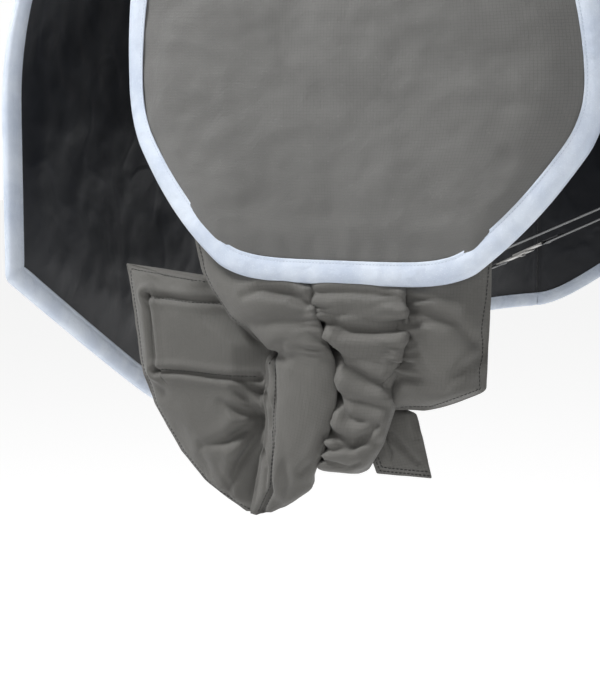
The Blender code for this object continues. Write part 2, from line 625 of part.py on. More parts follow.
def belly_strap(word, station):
    """Webbing from inside the right wall, slanting down to a slot plate inside the left wall."""
    wall = half_width(station + BELLY_WEB_WIDTH / 2) - CLEAR - WEBBING / 2
    left_end = Vector((-wall, -BELLY_LEFT_DROP))
    line = Vector((wall, -BELLY_RIGHT_DROP)) - left_end
    slope = atan2(line.y, line.x)
    frame = Matrix.Translation((left_end.x, TAIL_Y + station, left_end.y)) @ Matrix.Rotation(-slope, 4, "Y")
    upright = Matrix.Rotation(-slope, 2) @ Vector((0.0, BELLY_PATCH))
    length = line.length
    lower_bar = length * BELLY_CATCH_SHARE
    strap_start = [(length + upright.x, upright.y), (length, 0.0)]
    strap_with_hook(("belly", word), BELLY_WEB_WIDTH, frame, [tuple(upright), (0.0, 0.0)], strap_start, lower_bar)

    # The slider follows the straight run between the hook's loop and the sewn end.
    fold = Vector(loop_path(lower_bar + BARS_APART, PLATE_STEP, 1)[0])
    run = Vector((length, 0.0)) - fold
    middle = fold + run * 0.55
    at = frame @ Matrix.Translation((middle.x, 0.0, middle.y)) @ Matrix.Rotation(-atan2(run.y, run.x), 4, "Y")
    bulk = (SLIDER_LENGTH, BELLY_WEB_WIDTH + 2 * SLIDER_WALL, WEBBING + 2 * SLIDER_WALL)
    slider = box(f"belly_slider_{word}", bulk, (0, 0, 0), "plastic", at)
    gap = (SLIDER_LENGTH * 2, BELLY_WEB_WIDTH + 2 * CLEAR, WEBBING + 2 * CLEAR)
    combine(slider, box(f"belly_slider_gap_{word}", gap, (0, 0, 0), None, at), "DIFFERENCE")


def chest_plan(x, side, height):
    """A point in plan at x, height outside the chest's inner face there."""
    turn = acos(side * x / FRONT_HALF_WIDTH)
    along = BODY_LENGTH + TURN_GIRTH * turn / (pi / 2)
    stand = height + (lap_stand(along) if side < 0 else 0.0)
    tilt = atan2(FRONT_HALF_WIDTH * sin(turn), CHEST_REACH * cos(turn))
    return Vector((x + side * stand * cos(tilt), TAIL_Y + BODY_LENGTH + CHEST_REACH * sin(turn) + stand * sin(tilt)))


def chest_strap(word, drop):
    """Webbing on the left front, closed to a slot plate on the right front. Its frame's x runs
    towards the horse's left, along the chest's curve, and z outwards."""
    turn = acos(CHEST_PLATE_X / FRONT_HALF_WIDTH)
    back = Vector((FRONT_HALF_WIDTH * sin(turn), -CHEST_REACH * cos(turn))).normalized()
    out = Vector((-back.y, back.x))
    origin = chest_plan(CHEST_PLATE_X, 1, 0.0) + out * (STACK + CHEST_PLATE_LIFT)
    frame = Matrix(((-back.x, 0, out.x, origin.x), (-back.y, 0, out.y, origin.y), (0, 1, 0, -drop), (0, 0, 0, 1)))

    def sewn(ends, side):
        height = STACK + CLEAR * 1.5 + WEBBING / 2
        spots = []
        for x in (ends[0], (ends[0] + ends[1]) / 2, ends[1]):
            offset = chest_plan(x, side, height) - origin
            spots.append((-offset.dot(back), offset.dot(out)))
        return spots

    strap_with_hook(("chest", word), CHEST_WEB_WIDTH, frame,
                    sewn(CHEST_TAB_SEWN, 1), sewn(CHEST_STRAP_SEWN, -1), -BARS_APART / 2)


def main():
    layered_panels()
    bindings()
    spine_tape()
    wither_pad()
    tail_yoke()
    tail_flap()
    guard_header()
    tail_guard()
    for word, station in zip(("rear", "front"), BELLY_STATIONS):
        belly_strap(word, station)
    for word, drop in zip(("upper", "lower"), CHEST_STRAP_DROPS):
        chest_strap(word, drop)


main()
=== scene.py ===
from math import cos, pi, sin, sqrt

import bpy
import numpy as np
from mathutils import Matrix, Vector, noise
from mathutils.bvhtree import BVHTree


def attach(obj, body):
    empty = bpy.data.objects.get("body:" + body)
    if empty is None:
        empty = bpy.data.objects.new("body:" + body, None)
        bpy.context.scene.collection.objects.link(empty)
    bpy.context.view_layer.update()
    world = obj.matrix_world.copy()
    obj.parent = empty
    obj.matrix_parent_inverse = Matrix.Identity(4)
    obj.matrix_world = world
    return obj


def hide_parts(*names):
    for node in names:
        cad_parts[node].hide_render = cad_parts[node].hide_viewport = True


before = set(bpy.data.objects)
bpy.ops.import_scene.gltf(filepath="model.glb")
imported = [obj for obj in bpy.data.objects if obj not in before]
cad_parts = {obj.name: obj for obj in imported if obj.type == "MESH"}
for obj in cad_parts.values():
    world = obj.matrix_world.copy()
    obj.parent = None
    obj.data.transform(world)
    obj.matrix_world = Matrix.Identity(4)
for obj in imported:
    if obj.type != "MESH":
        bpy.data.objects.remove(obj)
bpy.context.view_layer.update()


# ---- Studio ---------------------------------------------------------------------------------
# A plain pale floor far below the hanging rug, a white room and three broad soft lights.
# The camera looks at the tail end from behind and a little to the rug's right.
def soft_light(name, place, aim, size, power):
    lamp = bpy.data.lights.new(name, "AREA")
    lamp.shape = "DISK"
    lamp.size = size
    lamp.energy = power
    obj = bpy.data.objects.new(name, lamp)
    bpy.context.scene.collection.objects.link(obj)
    obj.location = place
    obj.rotation_euler = (Vector(aim) - Vector(place)).to_track_quat("-Z", "Y").to_euler()
    return obj


soft_light("key_light", (-1.5, -1.9, 1.5), (0.0, -1.1, -0.6), 0.7, 88)
soft_light("fill_light", (1.8, -3.4, 0.6), (0.0, -1.0, -0.6), 1.4, 20)
soft_light("top_light", (0.0, -0.4, 3.0), (0.0, -0.5, 0.0), 3.0, 44)
world = bpy.data.worlds.new("white_room")
bpy.context.scene.world = world
world.use_nodes = True
room = world.node_tree
room.nodes["Background"].inputs["Color"].default_value = (1.0, 1.0, 1.0, 1.0)
room.nodes["Background"].inputs["Strength"].default_value = 0.22
seen = room.nodes.new("ShaderNodeBackground")
seen.inputs["Strength"].default_value = 1.0
seen.inputs["Color"].default_value = (1.0, 1.0, 1.0, 1.0)
ray, either = room.nodes.new("ShaderNodeLightPath"), room.nodes.new("ShaderNodeMixShader")
room.links.new(ray.outputs["Is Camera Ray"], either.inputs[0])
room.links.new(room.nodes["Background"].outputs[0], either.inputs[1])
room.links.new(seen.outputs[0], either.inputs[2])
room.links.new(either.outputs[0], room.nodes["World Output"].inputs["Surface"])
bpy.context.scene.view_settings.view_transform = "Standard"

floor_mesh = bpy.data.meshes.new("floor")
floor_mesh.from_pydata([(-14, -14, -1.5), (14, -14, -1.5), (14, 14, -1.5), (-14, 14, -1.5)], [], [(0, 1, 2, 3)])
floor = bpy.data.objects.new("floor", floor_mesh)
bpy.context.scene.collection.objects.link(floor)
floor_paint = bpy.data.materials.new("pale_floor")
floor_paint.use_nodes = True
floor_paint.node_tree.nodes["Principled BSDF"].inputs["Base Color"].default_value = (0.40, 0.40, 0.40, 1)
floor_paint.node_tree.nodes["Principled BSDF"].inputs["Roughness"].default_value = 0.9
floor_paint.node_tree.nodes["Principled BSDF"].inputs["Emission Color"].default_value = (1, 1, 1, 1)
floor_paint.node_tree.nodes["Principled BSDF"].inputs["Emission Strength"].default_value = 0.80
floor_mesh.materials.append(floor_paint)

camera = bpy.data.objects.new("camera", bpy.data.cameras.new("camera"))
bpy.context.scene.collection.objects.link(camera)
camera.data.lens = 98.1
camera.data.clip_end = 60
camera.location = (0.675, -2.785, -0.450)
camera.rotation_euler = (Vector((-0.040, -1.130, -0.689)) - camera.location).to_track_quat("-Z", "Y").to_euler()
bpy.context.scene.camera = camera


# ---- Lining ---------------------------------------------------------------------------------
# The smooth dark nylon inside the rug, one sheet a side from the rear edge to the shoulder seam
# and one for each chest front. It is cut a little full, so it lies in shallow soft creases.
class Wire:
    """A socket of a material, on which Python's operators add Math nodes."""

    def __init__(self, paint, socket):
        self.paint, self.socket = paint, socket

    def sum(self, operation, other, swap=False):
        pair = (other, self) if swap else (self, other)
        return self.paint.add("ShaderNodeMath", {"operation": operation}, {0: pair[0], 1: pair[1]})

    def __add__(self, other): return self.sum("ADD", other)
    def __radd__(self, other): return self.sum("ADD", other)
    def __sub__(self, other): return self.sum("SUBTRACT", other)
    def __rsub__(self, other): return self.sum("SUBTRACT", other, True)
    def __mul__(self, other): return self.sum("MULTIPLY", other)
    def __rmul__(self, other): return self.sum("MULTIPLY", other)
    def __truediv__(self, other): return self.sum("DIVIDE", other)
    def __pow__(self, other): return self.sum("POWER", other)
    def __mod__(self, other): return self.sum("MODULO", other)
    def at_most(self, other): return self.sum("MINIMUM", other)
    def at_least(self, other): return self.sum("MAXIMUM", other)
    def wave(self): return self.paint.add("ShaderNodeMath", {"operation": "SINE"}, {0: self})
    def size(self): return self.paint.add("ShaderNodeMath", {"operation": "ABSOLUTE"}, {0: self})


class Paint:
    """A material with its Principled shader, built node by node."""

    def __init__(self, name, roughness=0.6, **fixed):
        self.material = bpy.data.materials.new(name)
        self.material.use_nodes = True
        self.tree = self.material.node_tree
        self.shader = self.tree.nodes["Principled BSDF"]
        self.shader.inputs["Roughness"].default_value = roughness
        for socket, value in fixed.items():
            self.shader.inputs[socket.replace("_", " ")].default_value = value

    def feed(self, socket, value):
        if isinstance(value, Wire):
            self.tree.links.new(value.socket, socket)
        elif hasattr(value, "__len__") and socket.type == "RGBA" and len(value) == 3:
            socket.default_value = (*value, 1.0)
        else:
            socket.default_value = value

    def add(self, kind, settings=None, sockets=None, out=0):
        node = self.tree.nodes.new(kind)
        for key, value in (settings or {}).items():
            if key == "stops":
                ramp = node.color_ramp
                while len(ramp.elements) < len(value):
                    ramp.elements.new(0.5)
                for stop, (place, colour) in zip(ramp.elements, value):
                    stop.position = place
                    stop.color = (*colour, 1.0) if hasattr(colour, "__len__") else (colour, colour, colour, 1.0)
            else:
                setattr(node, key, value)
        for key, value in (sockets or {}).items():
            self.feed(node.inputs[key], value)
        return Wire(self, node.outputs[out])

    def space(self):
        return self.add("ShaderNodeTexCoord", out="Object")

    def cloth(self):
        """Across and along the cloth, in metres, from the piece's own UV map."""
        spot = self.add("ShaderNodeUVMap", {"uv_map": "cloth"})
        parts = self.tree.nodes.new("ShaderNodeSeparateXYZ")
        self.tree.links.new(spot.socket, parts.inputs[0])
        return spot, Wire(self, parts.outputs[0]), Wire(self, parts.outputs[1])

    def noise(self, where, scale, detail=3.0, rough=0.5, warp=0.0):
        return self.add("ShaderNodeTexNoise", {}, {
            "Vector": where, "Scale": scale, "Detail": detail, "Roughness": rough, "Distortion": warp})

    def ramp(self, value, low, high, start=0.0, end=1.0):
        return self.add("ShaderNodeMapRange", {"interpolation_type": "SMOOTHSTEP"}, {
            "Value": value, "From Min": low, "From Max": high, "To Min": start, "To Max": end})

    def mix(self, share, first, second):
        node = self.tree.nodes.new("ShaderNodeMix")
        node.data_type = "RGBA"
        for key, value in ((0, share), (6, first), (7, second)):
            self.feed(node.inputs[key], value)
        return Wire(self, node.outputs[2])

    def bump(self, height, distance, strength=1.0, onto=None):
        sockets = {"Height": height, "Distance": distance, "Strength": strength}
        if onto is not None:
            sockets["Normal"] = onto
        return self.add("ShaderNodeBump", {}, sockets)

    def finish(self, colour, roughness=None, normal=None):
        self.feed(self.shader.inputs["Base Color"], colour)
        if roughness is not None:
            self.feed(self.shader.inputs["Roughness"], roughness)
        if normal is not None:
            self.feed(self.shader.inputs["Normal"], normal)
        return self.material


def nylon_lining():
    paint = Paint("lining_nylon", 0.4, Sheen_Weight=0.04, Sheen_Roughness=0.4, Specular_IOR_Level=0.4)
    where = paint.space()
    spot, across, along = paint.cloth()
    crease = paint.noise(where, 11.0, 2.0, 0.45, 0.5)
    fine = paint.noise(where, 34.0, 2.0, 0.45, 0.3)
    ridge = 1 - paint.ramp((crease - 0.5).size(), 0.0, 0.10)
    weave = (across * (2 * pi / 0.0012)).wave() * (along * (2 * pi / 0.0012)).wave()
    cloud = paint.noise(where, 3.0, 3.0)
    colour = paint.mix(paint.ramp(cloud, 0.35, 0.7), (0.0045, 0.0055, 0.0085), (0.0085, 0.0100, 0.0140))
    # Painted highlight: the crease ridges are painted a little lighter, where the shiny nylon catches the light.
    colour = paint.mix(paint.ramp(ridge, 0.3, 1.0, 0.0, 0.3), colour, (0.014, 0.016, 0.021))
    normal = paint.bump(crease + ridge * 0.12, 0.007, 0.38)
    normal = paint.bump(fine, 0.0016, 0.45, normal)
    normal = paint.bump(weave, 0.00008, 0.4, normal)
    return paint.finish(colour, 0.36 + 0.16 * cloud, normal)


LINING_NYLON = nylon_lining()

CLEAR, LAYER_GAP = 0.0004, 0.0008
BODY_LENGTH, CHEST_REACH, TURN_GIRTH = 1.35, 0.36, 0.55
REAR_HALF_WIDTH, FRONT_HALF_WIDTH = 0.375, 0.335
ARCH_RISE, ARCH_GIRTH = 0.38, 0.58
RUMP_DROP, RUMP_LENGTH, SADDLE_DIP = 0.105, 0.34, 0.03
PAD_LENGTH, PAD_HALF_WIDTH, PAD_DEPTH = 0.18, 0.060, 0.012
WITHER_STATION = 1.10
NECK_STATION = 1.22
SEAM_ALONG, CHEST_END = 1.57, 1.90
CHEST_OVERLAP, LAP_STAND, SEAM_GAP = 0.045, 0.0118, 0.0012
NECK_TURN_DROP, NECK_FALL = 0.015, 0.035
HEM_DROP, CHEST_HEM_RISE = 0.81, 0.13
CORNER_LENGTH, CORNER_HEIGHT, CORNER_EASE = 0.34, 0.175, 0.08
CLOTH, FILL_DEPTH = 0.0010, 0.0036
STACK = 2 * CLOTH + FILL_DEPTH + 2 * LAYER_GAP
TAIL_Y = -WITHER_STATION


def smooth(t):
    t = np.clip(t, 0.0, 1.0)
    return t * t * (3 - 2 * t)


def spine_height(station):
    rump = -RUMP_DROP * (1 - np.sin(pi / 2 * np.clip(station / RUMP_LENGTH, 0, 1))) ** 1.5
    hollow = np.clip((station - RUMP_LENGTH) / (WITHER_STATION - PAD_LENGTH / 2 - RUMP_LENGTH), 0, 1)
    return PAD_DEPTH + CLEAR + rump - SADDLE_DIP * np.sin(pi * hollow) ** 2


def body_surface(along, down):
    """The inner face of the rug's left half: along its length, and down from the spine."""
    arc = np.minimum(down / ARCH_GIRTH, 1.0) * pi / 2
    drop = np.maximum(down - ARCH_GIRTH, 0.0)
    turn = np.maximum(along - BODY_LENGTH, 0.0) / TURN_GIRTH * pi / 2
    station = np.minimum(along, BODY_LENGTH)
    half = REAR_HALF_WIDTH + (FRONT_HALF_WIDTH - REAR_HALF_WIDTH) * smooth(station / BODY_LENGTH)
    return np.stack([-half * np.cos(turn) * np.sin(arc),
                     TAIL_Y + station + CHEST_REACH * np.sin(turn) * np.sin(arc),
                     spine_height(station) - ARCH_RISE * (1 - np.cos(arc)) - drop], -1)


def neckline(along):
    share = (along - NECK_STATION) / (SEAM_ALONG - NECK_STATION)
    fall = NECK_FALL * smooth((along - SEAM_ALONG) / (CHEST_END - SEAM_ALONG))
    return CLEAR + np.where(share > 0, (ARCH_GIRTH + NECK_TURN_DROP) * smooth(share) ** 0.9 + fall, 0.0)


def hem(along):
    slant = np.maximum(1 - along / CORNER_LENGTH, 0.0)
    corner = CORNER_HEIGHT * (np.sqrt(slant ** 2 + CORNER_EASE ** 2) - CORNER_EASE)
    corner = corner / (sqrt(1 + CORNER_EASE ** 2) - CORNER_EASE)
    chest = CHEST_HEM_RISE * smooth((along - SEAM_ALONG) / (CHEST_END - SEAM_ALONG))
    return ARCH_GIRTH + spine_height(np.minimum(along, BODY_LENGTH)) - ARCH_RISE + HEM_DROP - corner - chest


def grid_normals(grid):
    """Unit normals of a grid of points, towards (next column) x (next row)."""
    normal = np.cross(np.gradient(grid, axis=0), np.gradient(grid, axis=1))
    return normal / np.maximum(np.linalg.norm(normal, axis=-1, keepdims=True), 1e-9)


def rumple(grid, size, seed, octaves=3):
    """A soft noise from -1 to 1 at each point of a grid."""
    flat = grid.reshape(-1, 3) / size + seed * 7.3
    values = [noise.fractal(Vector(p), 0.6, 2.1, octaves) for p in flat]
    return np.clip(np.array(values).reshape(grid.shape[:-1]), -1.0, 1.0)


def place(name, mesh, finish, body=None):
    mesh.materials.append(finish)
    mesh.shade_smooth()
    obj = bpy.data.objects.new(name, mesh)
    bpy.context.scene.collection.objects.link(obj)
    if body:
        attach(obj, body)
    return obj


def flat_lengths(grid):
    """Each point's place on the cloth laid flat: across and along, in metres."""
    step = np.linalg.norm(np.diff(grid, axis=0), axis=-1).mean(axis=1)
    across = np.concatenate([[0.0], np.cumsum(step)])
    down = np.linalg.norm(np.diff(grid, axis=1), axis=-1)
    along = np.concatenate([np.zeros((grid.shape[0], 1)), np.cumsum(down, axis=1)], axis=1)
    return np.stack([np.repeat(across[:, None], grid.shape[1], 1), along], -1)


def cloth_mesh(name, near, far):
    """A closed sheet between two grids; far lies on the side that the grids' normals point to."""
    columns, rows = near.shape[:2]
    count = columns * rows
    number = np.arange(count).reshape(columns, rows)
    corner = [number[:-1, :-1], number[1:, :-1], number[1:, 1:], number[:-1, 1:]]
    front = np.stack(corner, -1).reshape(-1, 4) + count
    back = np.stack(corner[::-1], -1).reshape(-1, 4)
    ring = np.concatenate([number[:-1, 0], number[-1, :-1], number[:0:-1, -1], number[0, :0:-1]])
    after = np.roll(ring, -1)
    rim = np.stack([ring, after, after + count, ring + count], -1)
    faces = np.concatenate([front, back, rim])
    points = np.concatenate([near.reshape(-1, 3), far.reshape(-1, 3)])
    mesh = bpy.data.meshes.new(name)
    mesh.from_pydata(points.tolist(), [], faces.tolist())
    spots = np.tile(flat_lengths(far).reshape(-1, 2), (2, 1))
    chart = mesh.uv_layers.new(name="cloth")
    loops = np.empty(len(mesh.loops), np.int32)
    mesh.loops.foreach_get("vertex_index", loops)
    chart.data.foreach_set("uv", spots[loops].ravel())
    return mesh


def body_grid(start, end, fine, coarse, split, top, foot, cell):
    """Points of the left half between two girths, closer together before split."""
    first = []
    if split > start:
        first = np.linspace(start, split, max(2, int((split - start) / fine)), endpoint=False)
    rest = max(split, start)
    along = np.concatenate([first, np.linspace(rest, end, int((end - rest) / coarse))])
    rows = int(float((foot(along) - top(along)).max()) / cell)
    share = np.linspace(0.0, 1.0, rows)
    down = top(along)[:, None] + (foot(along) - top(along))[:, None] * share[None, :]
    return np.repeat(along[:, None], rows, 1), down


def edge_mask(along, down, first, last, spine=0.0):
    """0 where tape, pad and straps are sewn on, 1 over the free cloth."""
    near = np.minimum.reduce([along - first, last - along, hem(along) - down, down - neckline(along) - spine])
    mask = smooth((near - 0.022) / 0.05)
    for station in (0.85, 1.13):
        low = np.minimum(np.abs(down - 1.03), np.abs(down - 0.70))
        mask = mask * smooth((np.hypot(along - station, np.minimum(low, 0.2) * 0.6) - 0.045) / 0.05)
    return mask


def mirrored(grid):
    turned = grid[::-1].copy()
    turned[..., 0] *= -1
    return turned


SIDE_ALONG, SIDE_DOWN = body_grid(0.0, SEAM_ALONG - SEAM_GAP / 2, 0.007, 0.012, 0.45, neckline, hem, 0.0085)
CHEST_ALONG, CHEST_DOWN = body_grid(SEAM_ALONG + SEAM_GAP / 2, CHEST_END + CHEST_OVERLAP, 0.008, 0.009,
                                    0.0, neckline, hem, 0.009)
SIDE_FACE = body_surface(SIDE_ALONG, SIDE_DOWN)
CHEST_FACE = body_surface(CHEST_ALONG, CHEST_DOWN)
SIDE_OUT, CHEST_OUT = grid_normals(SIDE_FACE), grid_normals(CHEST_FACE)
flat_from = CHEST_END - CHEST_OVERLAP - 0.02
LAP = LAP_STAND * smooth((CHEST_ALONG - SEAM_ALONG) / (flat_from - SEAM_ALONG))
CHEST_LEFT_FACE = CHEST_FACE + CHEST_OUT * LAP[..., None]
SIDE_FREE = edge_mask(SIDE_ALONG, SIDE_DOWN, 0.0, SEAM_ALONG, 0.07)
CHEST_FREE = edge_mask(CHEST_ALONG, CHEST_DOWN, SEAM_ALONG, CHEST_END + CHEST_OVERLAP) * 0.5
SIDE_CUT, CHEST_CUT = (1.57, 1.30), (0.38, 0.56)


def area_of(grid):
    first = np.cross(grid[1:, 1:] - grid[:-1, :-1], grid[:-1, 1:] - grid[1:, :-1])
    return float(np.linalg.norm(first, axis=-1).sum() / 2)


def layer(part, side, faces, outs, low, high, finish, body, cut):
    """One closed sheet of a panel between two heights over its inner face."""
    near, far = faces + outs * low[..., None], faces + outs * high[..., None]
    if side == "right":
        near, far = mirrored(near), mirrored(far)
    obj = place(f"{part}_{side}_cloth", cloth_mesh(f"{part}_{side}", near, far), finish, body)
    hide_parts(f"{part}_{side}")
    area = min(area_of(near), cut[0] * cut[1])
    return obj


SIDES = (("left", CHEST_LEFT_FACE, "chest_front_left"), ("right", CHEST_FACE, "rug"))
for side, chest_face, chest_body in SIDES:
    seed = 3 if side == "left" else 8
    swell = rumple(SIDE_FACE * (1, 1, 0.7), 0.075, seed) * 0.0032 + rumple(SIDE_FACE, 0.21, seed + 1) * 0.0030
    sag = (-0.0036 + swell).clip(-0.009, 0) * SIDE_FREE
    obj = layer("side_lining", side, SIDE_FACE, SIDE_OUT, sag, sag + CLOTH, LINING_NYLON, "rug", SIDE_CUT)
    swell = rumple(CHEST_FACE, 0.07, seed + 2) * 0.0016
    sag = (-0.0016 + swell).clip(-0.0032, 0) * CHEST_FREE
    obj = layer("chest_lining", side, chest_face, CHEST_OUT, sag, sag + CLOTH, LINING_NYLON, chest_body, CHEST_CUT)


# ---- Batting --------------------------------------------------------------------------------
# White polyester wadding laid between lining and outer cloth, one sheet a panel. Only its cut
# edge could ever be seen, inside the edge tape.
def white_wadding():
    paint = Paint("white_wadding", 0.95, Sheen_Weight=0.3)
    where = paint.space()
    fluff = paint.noise(where, 160.0, 5.0, 0.7, 1.5)
    colour = paint.mix(fluff, (0.66, 0.66, 0.65), (0.86, 0.86, 0.85))
    return paint.finish(colour, 0.9 + 0.08 * fluff, paint.bump(fluff, 0.0015, 0.8))


WADDING = white_wadding()
FILL_LOW, FILL_HIGH = CLOTH + LAYER_GAP, CLOTH + LAYER_GAP + FILL_DEPTH
for side, chest_face, chest_body in SIDES:
    thin = slice(None, None, 3)
    level = np.zeros(SIDE_FACE[thin, thin].shape[:2])
    obj = layer("side_fill", side, SIDE_FACE[thin, thin], SIDE_OUT[thin, thin], level + FILL_LOW, level + FILL_HIGH,
                WADDING, "rug", SIDE_CUT)
    level = np.zeros(CHEST_FACE[thin, thin].shape[:2])
    obj = layer("chest_fill", side, chest_face[thin, thin], CHEST_OUT[thin, thin], level + FILL_LOW,
                level + FILL_HIGH, WADDING, chest_body, CHEST_CUT)


# ---- Outer cloth ----------------------------------------------------------------------------
# Matt grey ripstop polyester: a plain weave with a thicker thread every 3 mm both ways. It is
# cut full over the wadding, and lies in low swells that the seams pull flat.
def ripstop(name, tone, grid=0.0030, wear=1.0):
    dark, light = [tuple(part * shade for part in tone) for shade in (0.93, 1.07)]
    paint = Paint(name, 0.7, Sheen_Weight=0.12, Sheen_Roughness=0.5, Specular_IOR_Level=0.35)
    spot, across, along = paint.cloth()
    where = paint.space()
    lines = [(1 - ((place * (pi / grid)).wave().size() * 4.5).at_most(1.0)) for place in (across, along)]
    net = lines[0].at_least(lines[1])
    weave = (across * (2 * pi / 0.0007)).wave() * (along * (2 * pi / 0.0007)).wave()
    cloud = paint.noise(where, 7.0, 4.0, 0.6)
    speck = paint.noise(where, 420.0, 2.0, 0.6)
    colour = paint.mix(paint.ramp(cloud, 0.3, 0.72), dark, light)
    colour = paint.mix(net * 0.50, colour, tuple(part * 0.55 for part in tone))
    colour = paint.mix(paint.ramp(speck, 0.62, 0.80, 0.0, 0.25), colour, tuple(part * 1.7 for part in tone))
    crease = paint.noise(where, 26.0, 4.0, 0.6, 0.9)
    normal = paint.bump(crease, 0.0030, 0.45 * wear)
    normal = paint.bump(net, 0.00025, 0.6, normal)
    normal = paint.bump(weave, 0.00010, 0.5, normal)
    return paint.finish(colour, 0.58 + 0.14 * cloud + 0.06 * net, normal)


RUG_RIPSTOP = ripstop("grey_ripstop", (0.136, 0.135, 0.130))
SHELL_LOW = CLOTH + FILL_DEPTH + 2 * LAYER_GAP
for side, chest_face, chest_body in SIDES:
    seed = 21 if side == "left" else 27
    yoke_clear = smooth((SIDE_ALONG - 0.075) / 0.06)
    swell = 0.0034 + rumple(SIDE_FACE, 0.11, seed) * 0.0030
    swell = swell.clip(0, 0.008) * edge_mask(SIDE_ALONG, SIDE_DOWN, 0.0, SEAM_ALONG, 0.02) * yoke_clear
    obj = layer("side_shell", side, SIDE_FACE, SIDE_OUT, swell + SHELL_LOW, swell + STACK, RUG_RIPSTOP, "rug",
                SIDE_CUT)
    level = np.zeros(CHEST_FACE.shape[:2])
    obj = layer("chest_shell", side, chest_face, CHEST_OUT, level + SHELL_LOW, level + STACK, RUG_RIPSTOP,
                chest_body, CHEST_CUT)


# ---- Edge tape ------------------------------------------------------------------------------
# Pale blue reflective tape, folded over every edge and sewn through with one row of stitches
# near its inner edge. It puckers a little between the stitches and round the corners.
def reflective_tape():
    paint = Paint("pale_blue_tape", 0.42, Specular_IOR_Level=0.6, Sheen_Weight=0.15)
    spot, across, along = paint.cloth()
    where = paint.space()
    twill = ((across + along) * (2 * pi / 0.0011)).wave()
    cloud = paint.noise(where, 22.0, 3.0, 0.6)
    pucker = paint.noise(where, 75.0, 3.0, 0.5, 0.6)
    bead = paint.noise(where, 900.0, 1.0)
    colour = paint.mix(paint.ramp(cloud, 0.3, 0.7), (0.53, 0.60, 0.72), (0.68, 0.745, 0.84))
    colour = paint.mix(paint.ramp(twill, 0.2, 1.0, 0.0, 0.22), colour, (0.40, 0.47, 0.59))
    colour = paint.mix(paint.ramp(bead, 0.60, 0.72, 0.0, 0.30), colour, (0.86, 0.90, 0.96))
    normal = paint.bump(pucker, 0.0020, 0.55)
    normal = paint.bump(twill, 0.00012, 0.6, normal)
    return paint.finish(colour, 0.34 + 0.18 * cloud, normal)


BLUE_TAPE = reflective_tape()
TAPE_REACH, TAPE_EDGE, TAPE_THICK = 0.018, 0.0012, 0.0010
ROWS = {}


def resampled(line, step):
    """The same line with evenly spaced points about step apart."""
    along = np.concatenate([[0.0], np.cumsum(np.linalg.norm(np.diff(line, axis=0), axis=1))])
    at = np.linspace(0.0, along[-1], max(3, int(along[-1] / step) + 1))
    return np.stack([np.interp(at, along, line[:, k]) for k in range(line.shape[1])], 1)


def eased(line, times):
    """A line with its corners softened and its ends kept."""
    for _ in range(times):
        line = np.concatenate([line[:1], (line[:-2] + 2 * line[1:-1] + line[2:]) / 4, line[-1:]])
    return line


def folded_tape(name, near, far, inside, body, node, reach=TAPE_REACH, thread="rug"):
    """A tape over an edge. near and far are the edge of the inner and outer faces, and inside
    are points a little way in from the edge, on the inner face."""
    both = resampled(np.concatenate([near, far, inside], 1), 0.0045)
    both = eased(both, 3)
    near, far, inside = both[:, :3], both[:, 3:6], both[:, 6:]
    out = far - near
    thick = np.linalg.norm(out, axis=1, keepdims=True)
    out = out / thick
    inward = inside - near
    tangent = np.gradient(near, axis=0)
    tangent /= np.linalg.norm(tangent, axis=1, keepdims=True)
    inward -= tangent * (inward * tangent).sum(1, keepdims=True)
    inward -= out * (inward * out).sum(1, keepdims=True)
    inward /= np.linalg.norm(inward, axis=1, keepdims=True)
    inward = eased(inward, 8)
    inward /= np.linalg.norm(inward, axis=1, keepdims=True)
    middle = (near + far) / 2
    half = thick / 2 + CLEAR
    run = np.arange(len(near)) * 0.0045
    wobble = np.array([noise.noise(Vector((r / 0.011, len(name), 0.0))) for r in run])[:, None]
    broad = np.array([noise.noise(Vector((r / 0.045, 9.0, len(name)))) for r in run])[:, None]
    ease = smooth(np.minimum(run, run[-1] - run) / 0.02)[:, None]
    profile = []
    for side in (1, -1):
        leg = []
        for share in np.linspace(0.0, 1.0, 9):
            depth = reach + (TAPE_EDGE - reach) * share
            stitch = np.exp(-((share - 0.17) / 0.09) ** 2)
            full = np.sin(pi * np.clip((share - 0.17) / 0.95, 0, 1))
            lift = (0.0007 + 0.0011 * full * (1 + 0.5 * broad) + 0.0005 * wobble * full) * ease
            lift = lift - 0.0005 * stitch * ease
            leg.append(eased(middle + inward * depth, int(26 * (1 - share))) +
                       out * side * (half + np.maximum(lift, 0.0001)))
        profile.append(leg)
    bend = []
    for angle in np.linspace(0, pi, 7)[1:-1]:
        swell = half + 0.0008 * ease
        bend.append(middle - inward * (swell * sin(angle) - TAPE_EDGE * 0.2) + out * swell * cos(angle))
    inner = np.stack(profile[0] + bend + profile[1][::-1], 1)
    outer = inner + grid_normals(inner) * TAPE_THICK
    check = (outer[:, 3] - inner[:, 3]) * out
    if check.sum() < 0:
        inner, outer = inner[::-1], (inner - grid_normals(inner) * TAPE_THICK)[::-1]
    obj = place(f"{name}_tape", cloth_mesh(name, inner, outer), BLUE_TAPE, body)
    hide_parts(node)
    length = float(np.linalg.norm(np.diff(middle, axis=0), axis=1).sum())
    max(area_of(inner) / length, 0.012)
    for face in (1, -1):
        line = middle + inward * (reach - 0.0028) + out * face * (half + TAPE_THICK + 0.0004)
        ROWS.setdefault((body, thread), []).append(line)
    return obj


def edge_lines(faces, outs, order):
    """The edge's inner and outer lines and a line 10 mm inside, for a list of grid places."""
    i, j = np.array(order).T
    last_i, last_j = faces.shape[0] - 1, faces.shape[1] - 1
    inner_i = np.where(i == 0, 3, np.where(i == last_i, last_i - 3, i))
    inner_j = np.where(j == 0, 3, np.where(j == last_j, last_j - 3, j))
    return faces[i, j], faces[i, j] + outs[i, j] * STACK, faces[inner_i, inner_j]


def hand(points, side):
    return points if side == "left" else points * np.array([-1.0, 1.0, 1.0])


